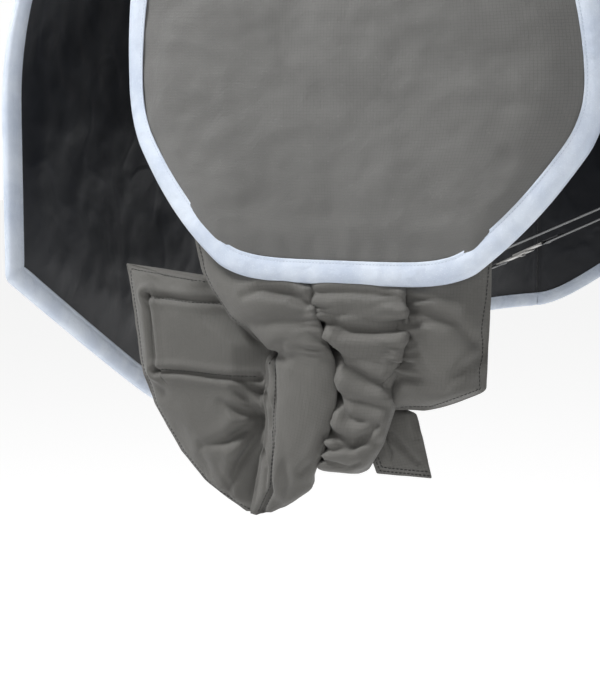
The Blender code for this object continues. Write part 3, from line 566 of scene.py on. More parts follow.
last_i, last_j = SIDE_FACE.shape[0] - 1, SIDE_FACE.shape[1] - 1
REAR_AND_HEM = [(0, j) for j in range(1, last_j)] + [(i, last_j) for i in range(0, last_i + 1)]
NECK_EDGE = [(i, 0) for i in range(last_i + 1) if SIDE_ALONG[i, 0] > NECK_STATION + 0.013]
end_i, end_j = CHEST_FACE.shape[0] - 1, CHEST_FACE.shape[1] - 1
CHEST_LOOP = ([(i, 0) for i in range(end_i + 1)] + [(end_i, j) for j in range(1, end_j + 1)]
              + [(i, end_j) for i in range(end_i - 1, -1, -1)])
for side, chest_face, chest_body in SIDES:
    for part, faces, outs, order, body, reach in (
            ("hem_binding", SIDE_FACE, SIDE_OUT, REAR_AND_HEM, "rug", TAPE_REACH),
            ("neck_binding", SIDE_FACE, SIDE_OUT, NECK_EDGE, "rug", 0.010),
            ("chest_binding", chest_face, CHEST_OUT, CHEST_LOOP, chest_body, TAPE_REACH)):
        near, far, inside = [hand(points, side) for points in edge_lines(faces, outs, order)]
        folded_tape(f"{part}_{side}", near, far, inside, body, f"{part}_{side}", reach)


# ---- Spine tape and wither pad ----------------------------------------------------------------
# A strip of the outer cloth sewn over the seam of the two halves, and a fleece pad under the
# withers, which is flat below and follows the lining above.
def over_spine(stations, half, height, count):
    """Points across the spine, left to right, at a height over the rug's inner face."""
    down = np.abs(np.linspace(-half, half, count))
    along, deep = np.meshgrid(stations, down, indexing="ij")
    face = body_surface(along, deep)
    out = grid_normals(body_surface(along, np.repeat(np.linspace(0.0, half, count)[None], len(stations), 0)))
    sign = np.where(np.arange(count) * 2 < count - 1, 1.0, -1.0)
    tilt = np.sin(np.minimum(deep / ARCH_GIRTH, 1.0) * pi / 2) * ARCH_RISE / 0.36
    slope = np.gradient(face[:, count // 2, 2], stations)
    normal = np.stack([-sign * tilt, np.repeat(-slope[:, None], count, 1), np.ones_like(deep)], -1)
    normal /= np.linalg.norm(normal, axis=-1, keepdims=True)
    face[..., 0] *= sign
    return face + normal * height


stations = np.arange(0.058, NECK_STATION + 0.004, 0.006)
low = over_spine(stations, 0.018, STACK + CLEAR + 0.0003, 13)
high = over_spine(stations, 0.018, STACK + CLEAR + TAPE_THICK + 0.0003, 13)
spine_mesh = cloth_mesh("spine_tape", low[:, ::-1], high[:, ::-1])
spine_tape = place("spine_tape_cloth", spine_mesh, RUG_RIPSTOP, "rug")
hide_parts("spine_tape")
for column in (1, 11):
    ROWS.setdefault(("rug", "dark"), []).append(high[:, column] + np.array([0, 0, 0.0004]))


def dark_fleece():
    paint = Paint("dark_fleece", 0.95, Sheen_Weight=0.8, Sheen_Roughness=0.6)
    where = paint.space()
    pile = paint.noise(where, 420.0, 4.0, 0.7, 1.0)
    tuft = paint.noise(where, 90.0, 2.0)
    colour = paint.mix(pile, (0.05, 0.05, 0.055), (0.15, 0.15, 0.16))
    return paint.finish(colour, 0.9 + 0.08 * tuft, paint.bump(pile * 0.6 + tuft, 0.003, 0.9))


stations = np.linspace(WITHER_STATION - PAD_LENGTH / 2, WITHER_STATION + PAD_LENGTH / 2, 61)
top = over_spine(stations, PAD_HALF_WIDTH, -CLEAR, 41)
reach_in = np.minimum.outer(np.minimum(stations - stations[0], stations[-1] - stations), np.full(41, 1.0))
edge_in = np.minimum(reach_in, PAD_HALF_WIDTH - np.abs(np.linspace(-PAD_HALF_WIDTH, PAD_HALF_WIDTH, 41))[None])
round_off = np.sqrt(np.clip(1 - (1 - np.clip(edge_in / 0.006, 0, 1)) ** 2, 0, 1))
bottom = top.copy()
bottom[..., 2] = top[..., 2] - (top[..., 2] - 0.0) * (0.12 + 0.88 * round_off)
top[..., 2] -= 0.0012 * (1 - round_off)
pad_mesh = cloth_mesh("wither_pad", bottom[:, ::-1], top[:, ::-1])
wither_pad = place("wither_pad_fleece", pad_mesh, dark_fleece(), "rug")
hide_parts("wither_pad")


# ---- Tail yoke ------------------------------------------------------------------------------
# The doubled outer cloth that carries the tail flap: sewn over the rump, it falls behind the
# rear edge and straightens to the flap's seam.
HINGE = np.array([0.0, TAIL_Y - 0.008, -0.215])
FLAP_TOP_HALF, FLAP_WIDE_HALF, FLAP_LOW_HALF, FLAP_END_HALF = 0.190, 0.240, 0.226, 0.128
FLAP_LENGTH = 0.405
YOKE_THICK, YOKE_DOWN = 0.0030, 0.3985
TAPE_RISE = CLEAR + TAPE_THICK + 0.0002


def bulge_past(rim, front, seam):
    """A curve from the rear edge to the flap's seam that leaves along the back."""
    onward = rim - front
    onward /= np.linalg.norm(onward, axis=-1, keepdims=True)
    knee = rim + onward * 0.030
    settle = seam + np.array([0.0, 0.0, 0.022])
    t = np.linspace(0.0, 1.0, 42)[None, :, None]
    rim, knee, settle, seam = [part[:, None] for part in (rim, knee, settle, seam)]
    return (1 - t) ** 3 * rim + 3 * (1 - t) ** 2 * t * knee + 3 * (1 - t) * t * t * settle + t ** 3 * seam


def yoke_grid(height):
    edge = over_spine(np.array([0.0, 0.0567 * 0.7, 0.0567]), YOKE_DOWN, height, 81)
    rim, sewn, front = edge[0], edge[1], edge[2]
    seam = HINGE + np.stack([rim[:, 0] / rim[-1, 0] * FLAP_TOP_HALF, rim[:, 0] * 0, rim[:, 0] * 0], -1)
    lead = np.stack([sewn + (rim - sewn) * s for s in np.linspace(0, 0.93, 9)], 1)
    return np.concatenate([lead, bulge_past(rim, front, seam)], 1)


yoke = yoke_grid(STACK + TAPE_RISE + CLEAR + 0.0006)
yoke_out = grid_normals(yoke)
yoke_row = np.arange(yoke.shape[1])
ease = smooth((yoke_row - 10) / 8.0) * smooth((yoke.shape[1] - 3 - yoke_row) / 8.0)
yoke_far = yoke + yoke_out * (YOKE_THICK + (0.0012 + 0.0016 * rumple(yoke, 0.07, 31)) * ease)[..., None]
tail_yoke = place("tail_yoke_cloth", cloth_mesh("tail_yoke", yoke, yoke_far), RUG_RIPSTOP, "rug")
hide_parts("tail_yoke")
min(area_of(yoke), 0.24)
for row, lift in ((1, 0.0004), (3, 0.0004), (yoke.shape[1] - 3, 0.0004)):
    ROWS.setdefault(("rug", "dark"), []).append((yoke_far + yoke_out * lift)[:, row])


# ---- Tail flap ------------------------------------------------------------------------------
# A padded flap over the dock: outer cloth, wadding and lining, bound on three sides with the
# blue tape, which is eased round the lower corners. The filling swells it.
def flap_half_width(b):
    rise = FLAP_TOP_HALF + (FLAP_WIDE_HALF - FLAP_TOP_HALF) * np.sin(pi / 2 * b / 0.55)
    low = FLAP_WIDE_HALF + (FLAP_LOW_HALF - FLAP_WIDE_HALF) * ((b - 0.55) / 0.15) ** 2
    fall = (b - 0.70) / 0.30
    end = FLAP_LOW_HALF + (FLAP_END_HALF - FLAP_LOW_HALF) * (0.75 * fall + 0.25 * fall ** 3)
    return np.where(b < 0.55, rise, np.where(b < 0.70, low, end))


def flap_spot(share, b):
    x = share * flap_half_width(b)
    bow = 1.6 * np.maximum(np.abs(x) - 0.10, 0.0) ** 2 * smooth(b * 1.6)
    lift = 0.014 * np.abs(share) ** 5 * smooth(2 * b - 1)
    return np.stack([x, HINGE[1] + bow - 0.014 * np.sin(pi / 2 * b),
                     HINGE[2] - 2 * CLEAR - (FLAP_LENGTH - lift) * b], -1)


FLAP_SHARE, FLAP_B = np.meshgrid(np.linspace(-1, 1, 101), np.linspace(0, 1, 91), indexing="ij")
FLAP_FACE = flap_spot(FLAP_SHARE, FLAP_B)
FLAP_IN = grid_normals(FLAP_FACE)
FLAP_EDGE = np.minimum((1 - np.abs(FLAP_SHARE)) * flap_half_width(FLAP_B), (1 - FLAP_B) * FLAP_LENGTH)
FLAP_FREE = smooth((FLAP_EDGE - 0.010) / 0.045) * smooth(FLAP_B / 0.10)


def flap_layer(node, low, high, finish):
    near, far = FLAP_FACE + FLAP_IN * low[..., None], FLAP_FACE + FLAP_IN * high[..., None]
    obj = place(f"{node}_cloth", cloth_mesh(node, near, far), finish, "tail_flap")
    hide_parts(node)
    area_of(near)
    return obj


ray = np.arctan2(FLAP_B - 0.45, FLAP_SHARE * 0.6)
pucker = np.sin(ray * 34) * smooth((0.055 - FLAP_EDGE) / 0.04) * smooth((FLAP_EDGE - 0.012) / 0.015) * 0.0007
puff = 0.0052 + 0.0026 * rumple(FLAP_FACE * (1.0, 1, 1.5), 0.10, 41) + 0.0012 * rumple(FLAP_FACE, 0.04, 45)
puff = puff * FLAP_FREE
puff = puff + pucker
level = np.zeros(FLAP_FACE.shape[:2])
flap_layer("tail_flap_shell", -puff, -puff + CLOTH, RUG_RIPSTOP)
flap_layer("tail_flap_fill", level + CLOTH + LAYER_GAP - puff * 0.8, level + CLOTH + LAYER_GAP + FILL_DEPTH,
           WADDING)
flap_layer("tail_flap_lining", level + SHELL_LOW, level + STACK, LINING_NYLON)
rows_b = np.linspace(0.0, 1.0, 110)
side_run = [np.stack([np.full(110, sign), rows_b], 1) for sign in (-1.0, 1.0)]
foot_run = np.stack([np.linspace(-1, 1, 80)[1:-1], np.ones(78)], 1)
path = np.concatenate([side_run[0], foot_run, side_run[1][::-1]])
outer_line = flap_spot(path[:, 0], path[:, 1])
inner_line = flap_spot(path[:, 0] * 0.93, path[:, 1] * 0.97)
path_out = FLAP_IN[np.round((path[:, 0] + 1) * 50).astype(int), np.round(path[:, 1] * 90).astype(int)]
folded_tape("tail_flap_binding", outer_line + path_out * STACK, outer_line, inner_line + path_out * STACK,
            "tail_flap", "tail_flap_binding", thread="flap")


# ---- Tail guard: header ---------------------------------------------------------------------
# The padded strip inside the flap that the guard hangs from, in the guard's own darker cloth.
GUARD_RIPSTOP = ripstop("guard_ripstop", (0.112, 0.109, 0.101), wear=1.3)
header_x = np.linspace(-0.120, 0.120, 61)
drops = np.linspace(0.425, 0.4538, 13)
share, b = np.meshgrid(header_x, (drops - 0.215) / FLAP_LENGTH, indexing="ij")
header = flap_spot(share / flap_half_width(b), b) + np.array([0.0, STACK + CLEAR, 0.0])
edge = np.minimum(0.120 - np.abs(share), np.minimum(np.arange(13), 12 - np.arange(13))[None] * 0.0024)
crown = 0.3 + 0.7 * np.sqrt(1 - (1 - np.clip(edge / 0.009, 0, 1)) ** 2)
header_far = header + grid_normals(header) * (0.0099 * crown * (1 - 0.12 * np.sin(share * 190) ** 2))[..., None]
header_mesh = cloth_mesh("guard_header", header, header_far)
guard_header = place("guard_header_stuffed", header_mesh, GUARD_RIPSTOP, "tail_flap")
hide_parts("guard_header")


# ---- Tail guard: padded panels ----------------------------------------------------------------
# Five panels of the grey cloth, stuffed with wadding and sewn flat round their hems: a centre
# gathered on two elastics, a wing each side, a tab that wraps the tail and a short tab below.
# Each is cut longer than the elastic beside it, so the stuffing pushes the spare cloth in folds.
def outline_rows(outline, cell):
    """Left and right limits of a flat outline at evenly spaced heights, from the top down."""
    top, low = max(z for x, z in outline), min(z for x, z in outline)
    heights = np.linspace(top, low + 0.0015, int((top - low) / cell))
    limits = []
    for height in heights:
        level = min(max(height, low + 1e-5), top - 1e-5)
        cuts = []
        for (x0, z0), (x1, z1) in zip(outline, outline[1:] + outline[:1]):
            if (z0 - level) * (z1 - level) < 0:
                cuts.append(x0 + (x1 - x0) * (level - z0) / (z1 - z0))
        limits.append((min(cuts), max(cuts)))
    return heights, np.array(limits)


def inflate(obj, cut, pinned, pressure, frames, limit):
    """Lets the spare cloth and the stuffing push a sewn panel out; pinned points stay."""
    scene = bpy.context.scene
    start = np.empty(len(obj.data.vertices) * 3)
    obj.data.vertices.foreach_get("co", start)
    obj.shape_key_add(name="sewn")
    key = obj.shape_key_add(name="cut")
    key.data.foreach_set("co", cut.ravel())
    group = obj.vertex_groups.new(name="pinned")
    group.add([int(k) for k in pinned], 1.0, "REPLACE")
    cloth = obj.modifiers.new("stuffing", "CLOTH")
    cloth.settings.quality = 6
    cloth.settings.mass = 0.12
    cloth.settings.tension_stiffness = 14
    cloth.settings.compression_stiffness = 14
    cloth.settings.shear_stiffness = 6
    cloth.settings.bending_stiffness = 0.12
    cloth.settings.vertex_group_mass = "pinned"
    cloth.settings.rest_shape_key = key
    cloth.settings.use_pressure = True
    cloth.settings.uniform_pressure_force = pressure
    cloth.settings.effector_weights.gravity = 0
    cloth.collision_settings.use_collision = False
    cloth.point_cache.frame_end = frames
    for step in range(1, frames + 1):
        scene.frame_set(step)
    settled = obj.evaluated_get(bpy.context.evaluated_depsgraph_get()).to_mesh()
    moved = np.empty(len(settled.vertices) * 3)
    settled.vertices.foreach_get("co", moved)
    scene.frame_set(1)
    obj.modifiers.remove(cloth)
    obj.shape_key_clear()
    start, moved = start.reshape(-1, 3), moved.reshape(-1, 3)
    push = moved - start
    far = np.linalg.norm(push, axis=1, keepdims=True)
    return start + push * np.minimum(1.0, limit / np.maximum(far, 1e-9))


def rounded_once(obj):
    """The object's mesh after one level of subdivision."""
    soft = obj.modifiers.new("round", "SUBSURF")
    soft.levels = soft.render_levels = 1
    mesh = bpy.data.meshes.new_from_object(obj.evaluated_get(bpy.context.evaluated_depsgraph_get()))
    obj.modifiers.remove(soft)
    obj.data = mesh
    mesh.shade_smooth()


def hollow(distance, flat, round_over):
    """0 at a seam to 1 over the stuffing, rising as a quarter circle past the flat hem."""
    return np.sqrt(np.clip(1 - (1 - np.clip((distance - flat) / round_over, 0, 1)) ** 2, 0, 1))


def panel(node, outline, rear, front, body, gather, shape, limit_faces, seams=(), roll_left=None, roll_right=None,
          cell=0.0040, flat=0.0045, pressure=3.0, frames=14, limit=0.006, seed=0):
    """One stuffed panel from an (x, z) outline. gather gives the spare cloth's share and shape
    scales its depth, from (u, x, z); roll_left and roll_right push a side out over its seam."""
    heights, limits = outline_rows(outline, cell)
    columns = max(8, int((limits[:, 1] - limits[:, 0]).max() / cell))
    u = np.linspace(0.0, 1.0, columns)[:, None]
    width = (limits[:, 1] - limits[:, 0])[None]
    x = limits[None, :, 0] + width * u
    z = np.repeat(heights[None], columns, 0)
    crown = np.ones_like(x)
    reaches = {"left": u * width, "right": (1 - u) * width, "top": heights[0] - z, "low": z - heights[-1]}
    for word, distance in reaches.items():
        crown = crown * (hollow(distance, 0.0, 0.013) if word in seams else hollow(distance, flat, 0.021))
    edge = np.minimum.reduce([distance + 0 * x for distance in reaches.values()])
    middle, half = (rear + front) / 2, (front - rear) / 2
    wave = rumple(np.stack([x, z * 0, z], -1), 0.030, 60 + seed) * 0.0018 * (edge < flat)
    shift = np.zeros_like(x)
    for roll, v in ((roll_right, u), (roll_left, 1 - u)):
        if roll is not None:
            lean = np.where(v < 0.88, smooth(v / 0.88), np.sqrt(np.clip(1 - ((v - 0.88) / 0.12) ** 2, 0, 1)))
            sign = 1 if roll is roll_right else -1
            shift = shift + sign * (roll(z) + 0.12 * width * (np.abs(roll(z)) > 1e-4)) * lean
    back_face = np.stack([x + shift, middle - 0.0012 - (half * shape(u, x, z) - 0.0012) * crown + wave, z], -1)
    front_face = np.stack([x, middle + 0.0012 + (half - 0.0012) * crown + wave, z], -1)
    obj = place(f"{node}_stuffed", cloth_mesh(node, back_face, front_face), GUARD_RIPSTOP)
    spare = gather(u, x, z)
    laid = np.stack([x, z * 0 + middle, heights[0] + (z - heights[0]) * (1 + spare)], -1)
    swell = np.stack([x * 0, crown * half, z * 0], -1)
    cut = np.concatenate([(laid - swell).reshape(-1, 3), (laid + swell).reshape(-1, 3)])
    number = np.arange(columns * len(heights)).reshape(columns, -1)
    held = number[edge < cell * 0.6]
    pinned = np.concatenate([held, held + number.size])
    points = np.concatenate([back_face.reshape(-1, 3), front_face.reshape(-1, 3)])
    points = inflate(obj, cut, pinned, pressure, frames, limit)
    back_face, front_face = [part.reshape(columns, -1, 3) for part in np.split(points, 2)]
    front_face, back_face = limit_faces(front_face, back_face)
    points = np.concatenate([back_face.reshape(-1, 3), front_face.reshape(-1, 3)])
    obj.data.vertices.foreach_set("co", points.ravel())
    obj.data.update()
    rounded_once(obj)
    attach(obj, body)
    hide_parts(node)
    return obj


def draw_in(obj, creases, seams=()):
    """Pulls the rear face in along creases, each (depth, width, fades, points in mm), with the
    cloth standing up beside them, and puckers it along the gathered seams."""
    mesh = obj.data
    points, normals = np.empty(len(mesh.vertices) * 3), np.empty(len(mesh.vertices) * 3)
    mesh.vertices.foreach_get("co", points)
    mesh.vertices.foreach_get("normal", normals)
    points, normals = points.reshape(-1, 3), normals.reshape(-1, 3)
    flat = points[:, [0, 2]]
    depth = np.zeros(len(points))
    for deep, wide, fades, line in creases:
        line = np.array(line) / 1000
        steps = np.linalg.norm(np.diff(line, axis=0), axis=1)
        run = np.concatenate([[0.0], np.cumsum(steps)]) / steps.sum()
        best, place_on = np.full(len(points), 9.0), np.zeros(len(points))
        for k in range(len(line) - 1):
            along = line[k + 1] - line[k]
            t = np.clip(((flat - line[k]) @ along) / (along @ along), 0, 1)
            distance = np.linalg.norm(flat - line[k] - t[:, None] * along, axis=1)
            nearer = distance < best
            best = np.where(nearer, distance, best)
            place_on = np.where(nearer, run[k] + t * (run[k + 1] - run[k]), place_on)
        strength = 1 - fades * smooth((place_on - 0.35) / 0.65)
        narrow = wide / 1000 * (1 - 0.35 * fades * place_on)
        pull = np.exp(-(best / narrow) ** 2) - 0.38 * np.exp(-((best - 2.3 * narrow) / (1.5 * narrow)) ** 2)
        depth += deep / 1000 * strength * pull
    for seam, top, low in seams:
        beside = np.abs(flat[:, 0] - seam)
        span = smooth((top - flat[:, 1]) / 0.01) * smooth((flat[:, 1] - low) / 0.01)
        phase = np.array([noise.noise(Vector((a * 40, b * 55, seam * 90))) for a, b in flat])
        gathers = np.sin(flat[:, 1] * 2 * pi / 0.0085 + phase * 5)
        depth += 0.0011 * gathers * np.exp(-(beside / 0.014) ** 2) * span
    facing = smooth(-normals[:, 1] / 0.4)
    points -= normals * (depth * facing)[:, None]
    mesh.vertices.foreach_set("co", points.ravel())
    mesh.update()


def by_height(*pairs):
    """A value by height, from (height, value) pairs in mm listed from the top down."""
    heights, values = np.array(pairs[::-1]).T / 1000
    return lambda z: np.interp(z, heights, values)


SEAM_LEFT, SEAM_RIGHT, SLIT = -0.0405, 0.0470, 0.0010
GUARD_TOP, REAR_FACE, FRONT_FACE = -0.455, -1.1022, -1.0802
FLAP_ROOM = -1.1105


def keep_between(front, z_free=-0.625, reach=-1.131):
    """Keeps the front face behind a plane, and the rear face off the flap's lining above the hem."""
    def limit(near, far):
        near[..., 1] = np.minimum(near[..., 1], front)
        room = np.interp(far[..., 2], [z_free - 0.01, z_free + 0.014], [reach, FLAP_ROOM])
        far[..., 1] = np.maximum(far[..., 1], room)
        return near, far
    return limit


def centre_faces(near, far):
    near, far = keep_between(FRONT_FACE)(near, far)
    roll_edge = np.interp(far[..., 2], [-0.828, -0.808, -0.789, -0.767, -0.742, -0.719, -0.699, -0.672, -0.650],
                          [-0.042, -0.031, -0.020, -0.014, -0.007, -0.005, -0.009, -0.020, -0.039])
    under_roll = np.interp(far[..., 0] - roll_edge, [-0.022, -0.006, 0.007], [-1.0985, -1.1030, -1.132])
    far[..., 1] = np.maximum(far[..., 1], under_roll)
    return near, far


def centre_shape(u, x, z):
    puffs = np.abs(np.sin(pi * (z + 0.20 * x + 0.4635) / 0.0385)) ** 0.6
    return (0.85 + 0.27 * puffs) * (1.15 + 0.95 * smooth((-0.605 - z) / 0.03))


centre = panel("guard_centre", [
    (SEAM_LEFT + SLIT, GUARD_TOP), (SEAM_RIGHT - SLIT, GUARD_TOP), (SEAM_RIGHT - SLIT, -0.740),
    (0.032, -0.782), (0.014, -0.812), (-0.020, -0.814), (SEAM_LEFT + SLIT, -0.806)],
    -1.1070, FRONT_FACE, "tail_guard", lambda u, x, z: 0.42 + 0 * x, centre_shape, centre_faces,
    seams=("left", "right", "low"), seed=1,
    roll_right=by_height((-600, 4), (-627, 15), (-660, 20), (-677, 19), (-698, 9), (-709, 7), (-721, -3),
                         (-736, -1), (-751, 2), (-779, 3), (-802, 0)))
draw_in(centre, [
    (4, 4, 0, [(-28, -633), (7, -632), (46, -633), (62, -639)]),
    (8, 5, 0, [(-25, -666), (-10, -662), (1, -668), (33, -668), (66, -660)]),
    (9, 6, 0, [(-19, -685), (0, -702), (26, -715), (46, -720), (56, -709)]),
    (4, 3, 1, [(56, -699), (44, -694)]),
    (6, 5, 0.5, [(-9, -730), (7, -753), (37, -757)]),
    (6, 4, 0.4, [(-13, -769), (11, -780), (36, -760)]),
    (4, 3, 0.6, [(-19, -786), (7, -781), (23, -777)]),
    (4, 3, 0.6, [(-25, -795), (6, -801), (20, -795)])],
    [(0.050, -0.60, -0.74), (-0.024, -0.60, -0.80)])


def wing_shape(u, x, z):
    low = 1.55 + 1.45 * smooth((-0.600 - z) / 0.05)
    facing = 1 - 0.62 * smooth((-0.076 - x) / 0.010) * smooth((-0.690 - z) / 0.015)
    return low * (0.55 + 0.45 * smooth(u / 0.45)) * facing * (1 - 0.35 * smooth((-0.79 - z) / 0.06))


WING_EDGE = [(SEAM_LEFT - SLIT, GUARD_TOP), (-0.158, GUARD_TOP), (-0.174, -0.575), (-0.163, -0.622),
             (-0.152, -0.640), (-0.129, -0.669), (-0.092, -0.692), (-0.083, -0.698), (-0.094, -0.710),
             (-0.093, -0.730), (-0.097, -0.742), (-0.094, -0.765), (-0.096, -0.790), (-0.102, -0.812),
             (-0.111, -0.864), (-0.072, -0.850), (SEAM_LEFT - SLIT, -0.828)]
left_wing = panel("guard_left_wing", WING_EDGE, REAR_FACE, FRONT_FACE, "guard_left",
                  lambda u, x, z: 0.05 + 0.35 * smooth((u - 0.5) / 0.5), wing_shape, keep_between(FRONT_FACE),
                  seams=("right",), seed=2,
                  roll_right=by_height((-600, 0), (-625, 3), (-641, 5), (-672, 21), (-699, 32), (-719, 36),
                                       (-742, 34), (-767, 27), (-789, 21), (-808, 10), (-822, 3)))
draw_in(left_wing, [
    (6, 5, 0.7, [(-36, -645), (-53, -637), (-86, -634), (-104, -641)]),
    (3.5, 5, 0.9, [(-38, -622), (-60, -617), (-82, -619)]),
    (3.5, 8, 0.6, [(-40, -662), (-70, -664), (-99, -670), (-122, -678)]),
    (3, 4, 1, [(-12, -684), (-43, -668)]),
    (3, 4, 0.3, [(-16, -773), (-29, -798), (-43, -810)]),
    (4, 3, 0, [(-78, -697), (-76, -725), (-76, -785), (-80, -830), (-98, -858)]),
    (4, 4, 0.8, [(-80, -697), (-100, -681), (-122, -668)]),
    (2.5, 5, 0.9, [(-80, -700), (-66, -690), (-52, -676)]),
    (2.5, 2.5, 0.3, [(-95, -738), (-84, -752), (-81, -770)]),
    (2.5, 2.5, 0.3, [(-97, -795), (-88, -812), (-90, -834)]),
    (2.5, 6, 0.9, [(-72, -846), (-60, -815), (-58, -780)])],
    [(-0.030, -0.60, -0.70)])

right_wing = panel("guard_right_wing", [
    (SEAM_RIGHT + SLIT, GUARD_TOP), (SEAM_RIGHT + SLIT, -0.748), (0.080, -0.746), (0.106, -0.736),
    (0.134, -0.724), (0.137, -0.650), (0.141, GUARD_TOP)],
    REAR_FACE, FRONT_FACE, "guard_right", lambda u, x, z: 0.04 + 0.40 * smooth((0.6 - u) / 0.6),
    lambda u, x, z: 1.45 + 0.75 * smooth((-0.600 - z) / 0.05), keep_between(FRONT_FACE), seams=("left",), seed=3,
    roll_left=by_height((-600, 0), (-700, 0), (-722, 6), (-742, 14), (-750, 12)))
draw_in(right_wing, [
    (4, 3, 1, [(59, -635), (76, -637), (98, -635)]),
    (6, 6, 0.55, [(56, -645), (83, -652), (108, -659), (128, -677), (138, -686)]),
    (4, 3, 1, [(61, -659), (77, -659), (98, -659)]),
    (3, 3, 1, [(60, -671), (75, -679)]),
    (5, 4, 0.9, [(48, -696), (67, -700), (84, -707)]),
    (6, 6, 0.8, [(38, -729), (54, -712), (76, -712), (100, -723)]),
    (3, 5, 0.9, [(132, -690), (118, -700), (104, -716)])],
    [(0.060, -0.60, -0.72)])


def tab_faces(near, far):
    hem_x = np.interp(far[..., 2], [-0.864, -0.812, -0.790, -0.705, -0.693, -0.669, -0.640, -0.576],
                      [-0.111, -0.102, -0.096, -0.094, -0.094, -0.129, -0.152, -0.174])
    room = np.interp(far[..., 0] - hem_x, [-0.040, -0.008], [-1.0960, -1.0797])
    far[..., 1] = np.maximum(far[..., 1], room)
    near[..., 1] = np.minimum(near[..., 1], -1.0657)
    return near, far


wrap_tab = panel("guard_wrap_tab", [
    (-0.257, -0.618), (-0.252, -0.651), (-0.241, -0.728), (-0.227, -0.761), (-0.196, -0.808),
    (-0.168, -0.838), (-0.120, -0.866), (-0.084, -0.835), (-0.084, -0.662), (-0.138, -0.630)],
    -1.0796, -1.0658, "guard_left", lambda u, x, z: 0.06 + 0.25 * smooth((u - 0.6) / 0.4),
    lambda u, x, z: 2.3 + 0 * x, tab_faces, limit=0.005, seed=4)
draw_in(wrap_tab, [
    (5, 3, 0, [(-227, -648), (-225, -662), (-217, -724)]),
    (4, 3, 0.4, [(-227, -648), (-190, -650), (-140, -653)]),
    (5, 3, 0, [(-217, -724), (-185, -723), (-146, -726), (-104, -727)]),
    (4, 3, 0.8, [(-214, -727), (-203, -738)]),
    (7, 5, 0.8, [(-103, -764), (-123, -760), (-142, -752)]),
    (8, 6, 0.8, [(-103, -768), (-134, -789), (-163, -797)]),
    (7, 5, 0.7, [(-103, -776), (-125, -814), (-138, -842)]),
    (5, 4, 0.9, [(-104, -741), (-125, -727)]),
    (4, 4, 0.9, [(-108, -757), (-129, -735)]),
    (2, 12, 0.5, [(-240, -740), (-200, -745), (-160, -750)])])


def short_faces(near, far):
    near[..., 1] = np.minimum(near[..., 1], -1.0717)
    return near, far


rear_tab = panel("guard_rear_tab", [
    (0.006, -0.740), (0.044, -0.740), (0.046, -0.7495), (0.058, -0.7495), (0.065, -0.773),
    (0.076, -0.816), (0.018, -0.815), (0.009, -0.790)],
    -1.0796, -1.0718, "tail_guard", lambda u, x, z: 0.10 + 0 * x, lambda u, x, z: 1.5 + 0 * x, short_faces,
    cell=0.0028, flat=0.004, limit=0.004, seed=5)
draw_in(rear_tab, [
    (3, 3, 0.5, [(22, -765), (40, -778), (62, -799)]),
    (2.5, 2.5, 0.8, [(26, -772), (34, -790), (36, -806)]),
    (2, 3, 0.6, [(56, -752), (60, -775)])])


# ---- Tail guard: elastics and hook-and-loop ---------------------------------------------------
# Two strips of ribbed elastic that draw the centre's long sides up, and the hook and the loop
# patch that close the guard round the tail, each sewn down round its edge.
def ribbed_elastic():
    paint = Paint("ribbed_elastic", 0.8, Sheen_Weight=0.3)
    spot, across, along = paint.cloth()
    rib = (along * (2 * pi / 0.0014)).wave()
    fuzz = paint.noise(paint.space(), 500.0, 2.0)
    colour = paint.mix(paint.ramp(rib, -0.5, 0.8), (0.020, 0.020, 0.021), (0.060, 0.060, 0.060))
    return paint.finish(colour, 0.75 + 0.15 * fuzz, paint.bump(rib, 0.0003, 0.8))


ELASTIC = ribbed_elastic()
for node, seam, low in (("guard_elastic_left", SEAM_LEFT, -0.785), ("guard_elastic_right", SEAM_RIGHT, -0.730)):
    deep, down = np.meshgrid(np.linspace(-0.006, 0.006, 7), np.linspace(GUARD_TOP, low, 150), indexing="ij")
    sway = 0.00030 * np.sin(down * 2 * pi / 0.0085)
    middle = (REAR_FACE + FRONT_FACE) / 2
    near = np.stack([seam - 0.0005 + sway, middle + deep, down], -1)
    far = near + np.array([0.0010, 0.0, 0.0])
    if (grid_normals(near)[0, 0] * (far - near)[0, 0]).sum() < 0:
        near, far = near[::-1], far[::-1]
    strip = place(f"{node}_strip", cloth_mesh(node, near, far), ELASTIC, "tail_guard")
    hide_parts(node)
    abs(low - GUARD_TOP)


def hook_and_loop(name, scale, rise):
    paint = Paint(name, 0.9, Sheen_Weight=0.6, Sheen_Roughness=0.5)
    where = paint.space()
    spot, across, along = paint.cloth()
    tuft = paint.noise(where, scale, 3.0, 0.7, 1.2)
    rows = (along * (2 * pi / 0.0016)).wave()
    colour = paint.mix(paint.ramp(tuft, 0.35, 0.65), (0.012, 0.012, 0.013), (0.060, 0.060, 0.062))
    return paint.finish(colour, 0.82 + 0.15 * tuft, paint.bump(tuft + rows * 0.3, rise, 0.9))


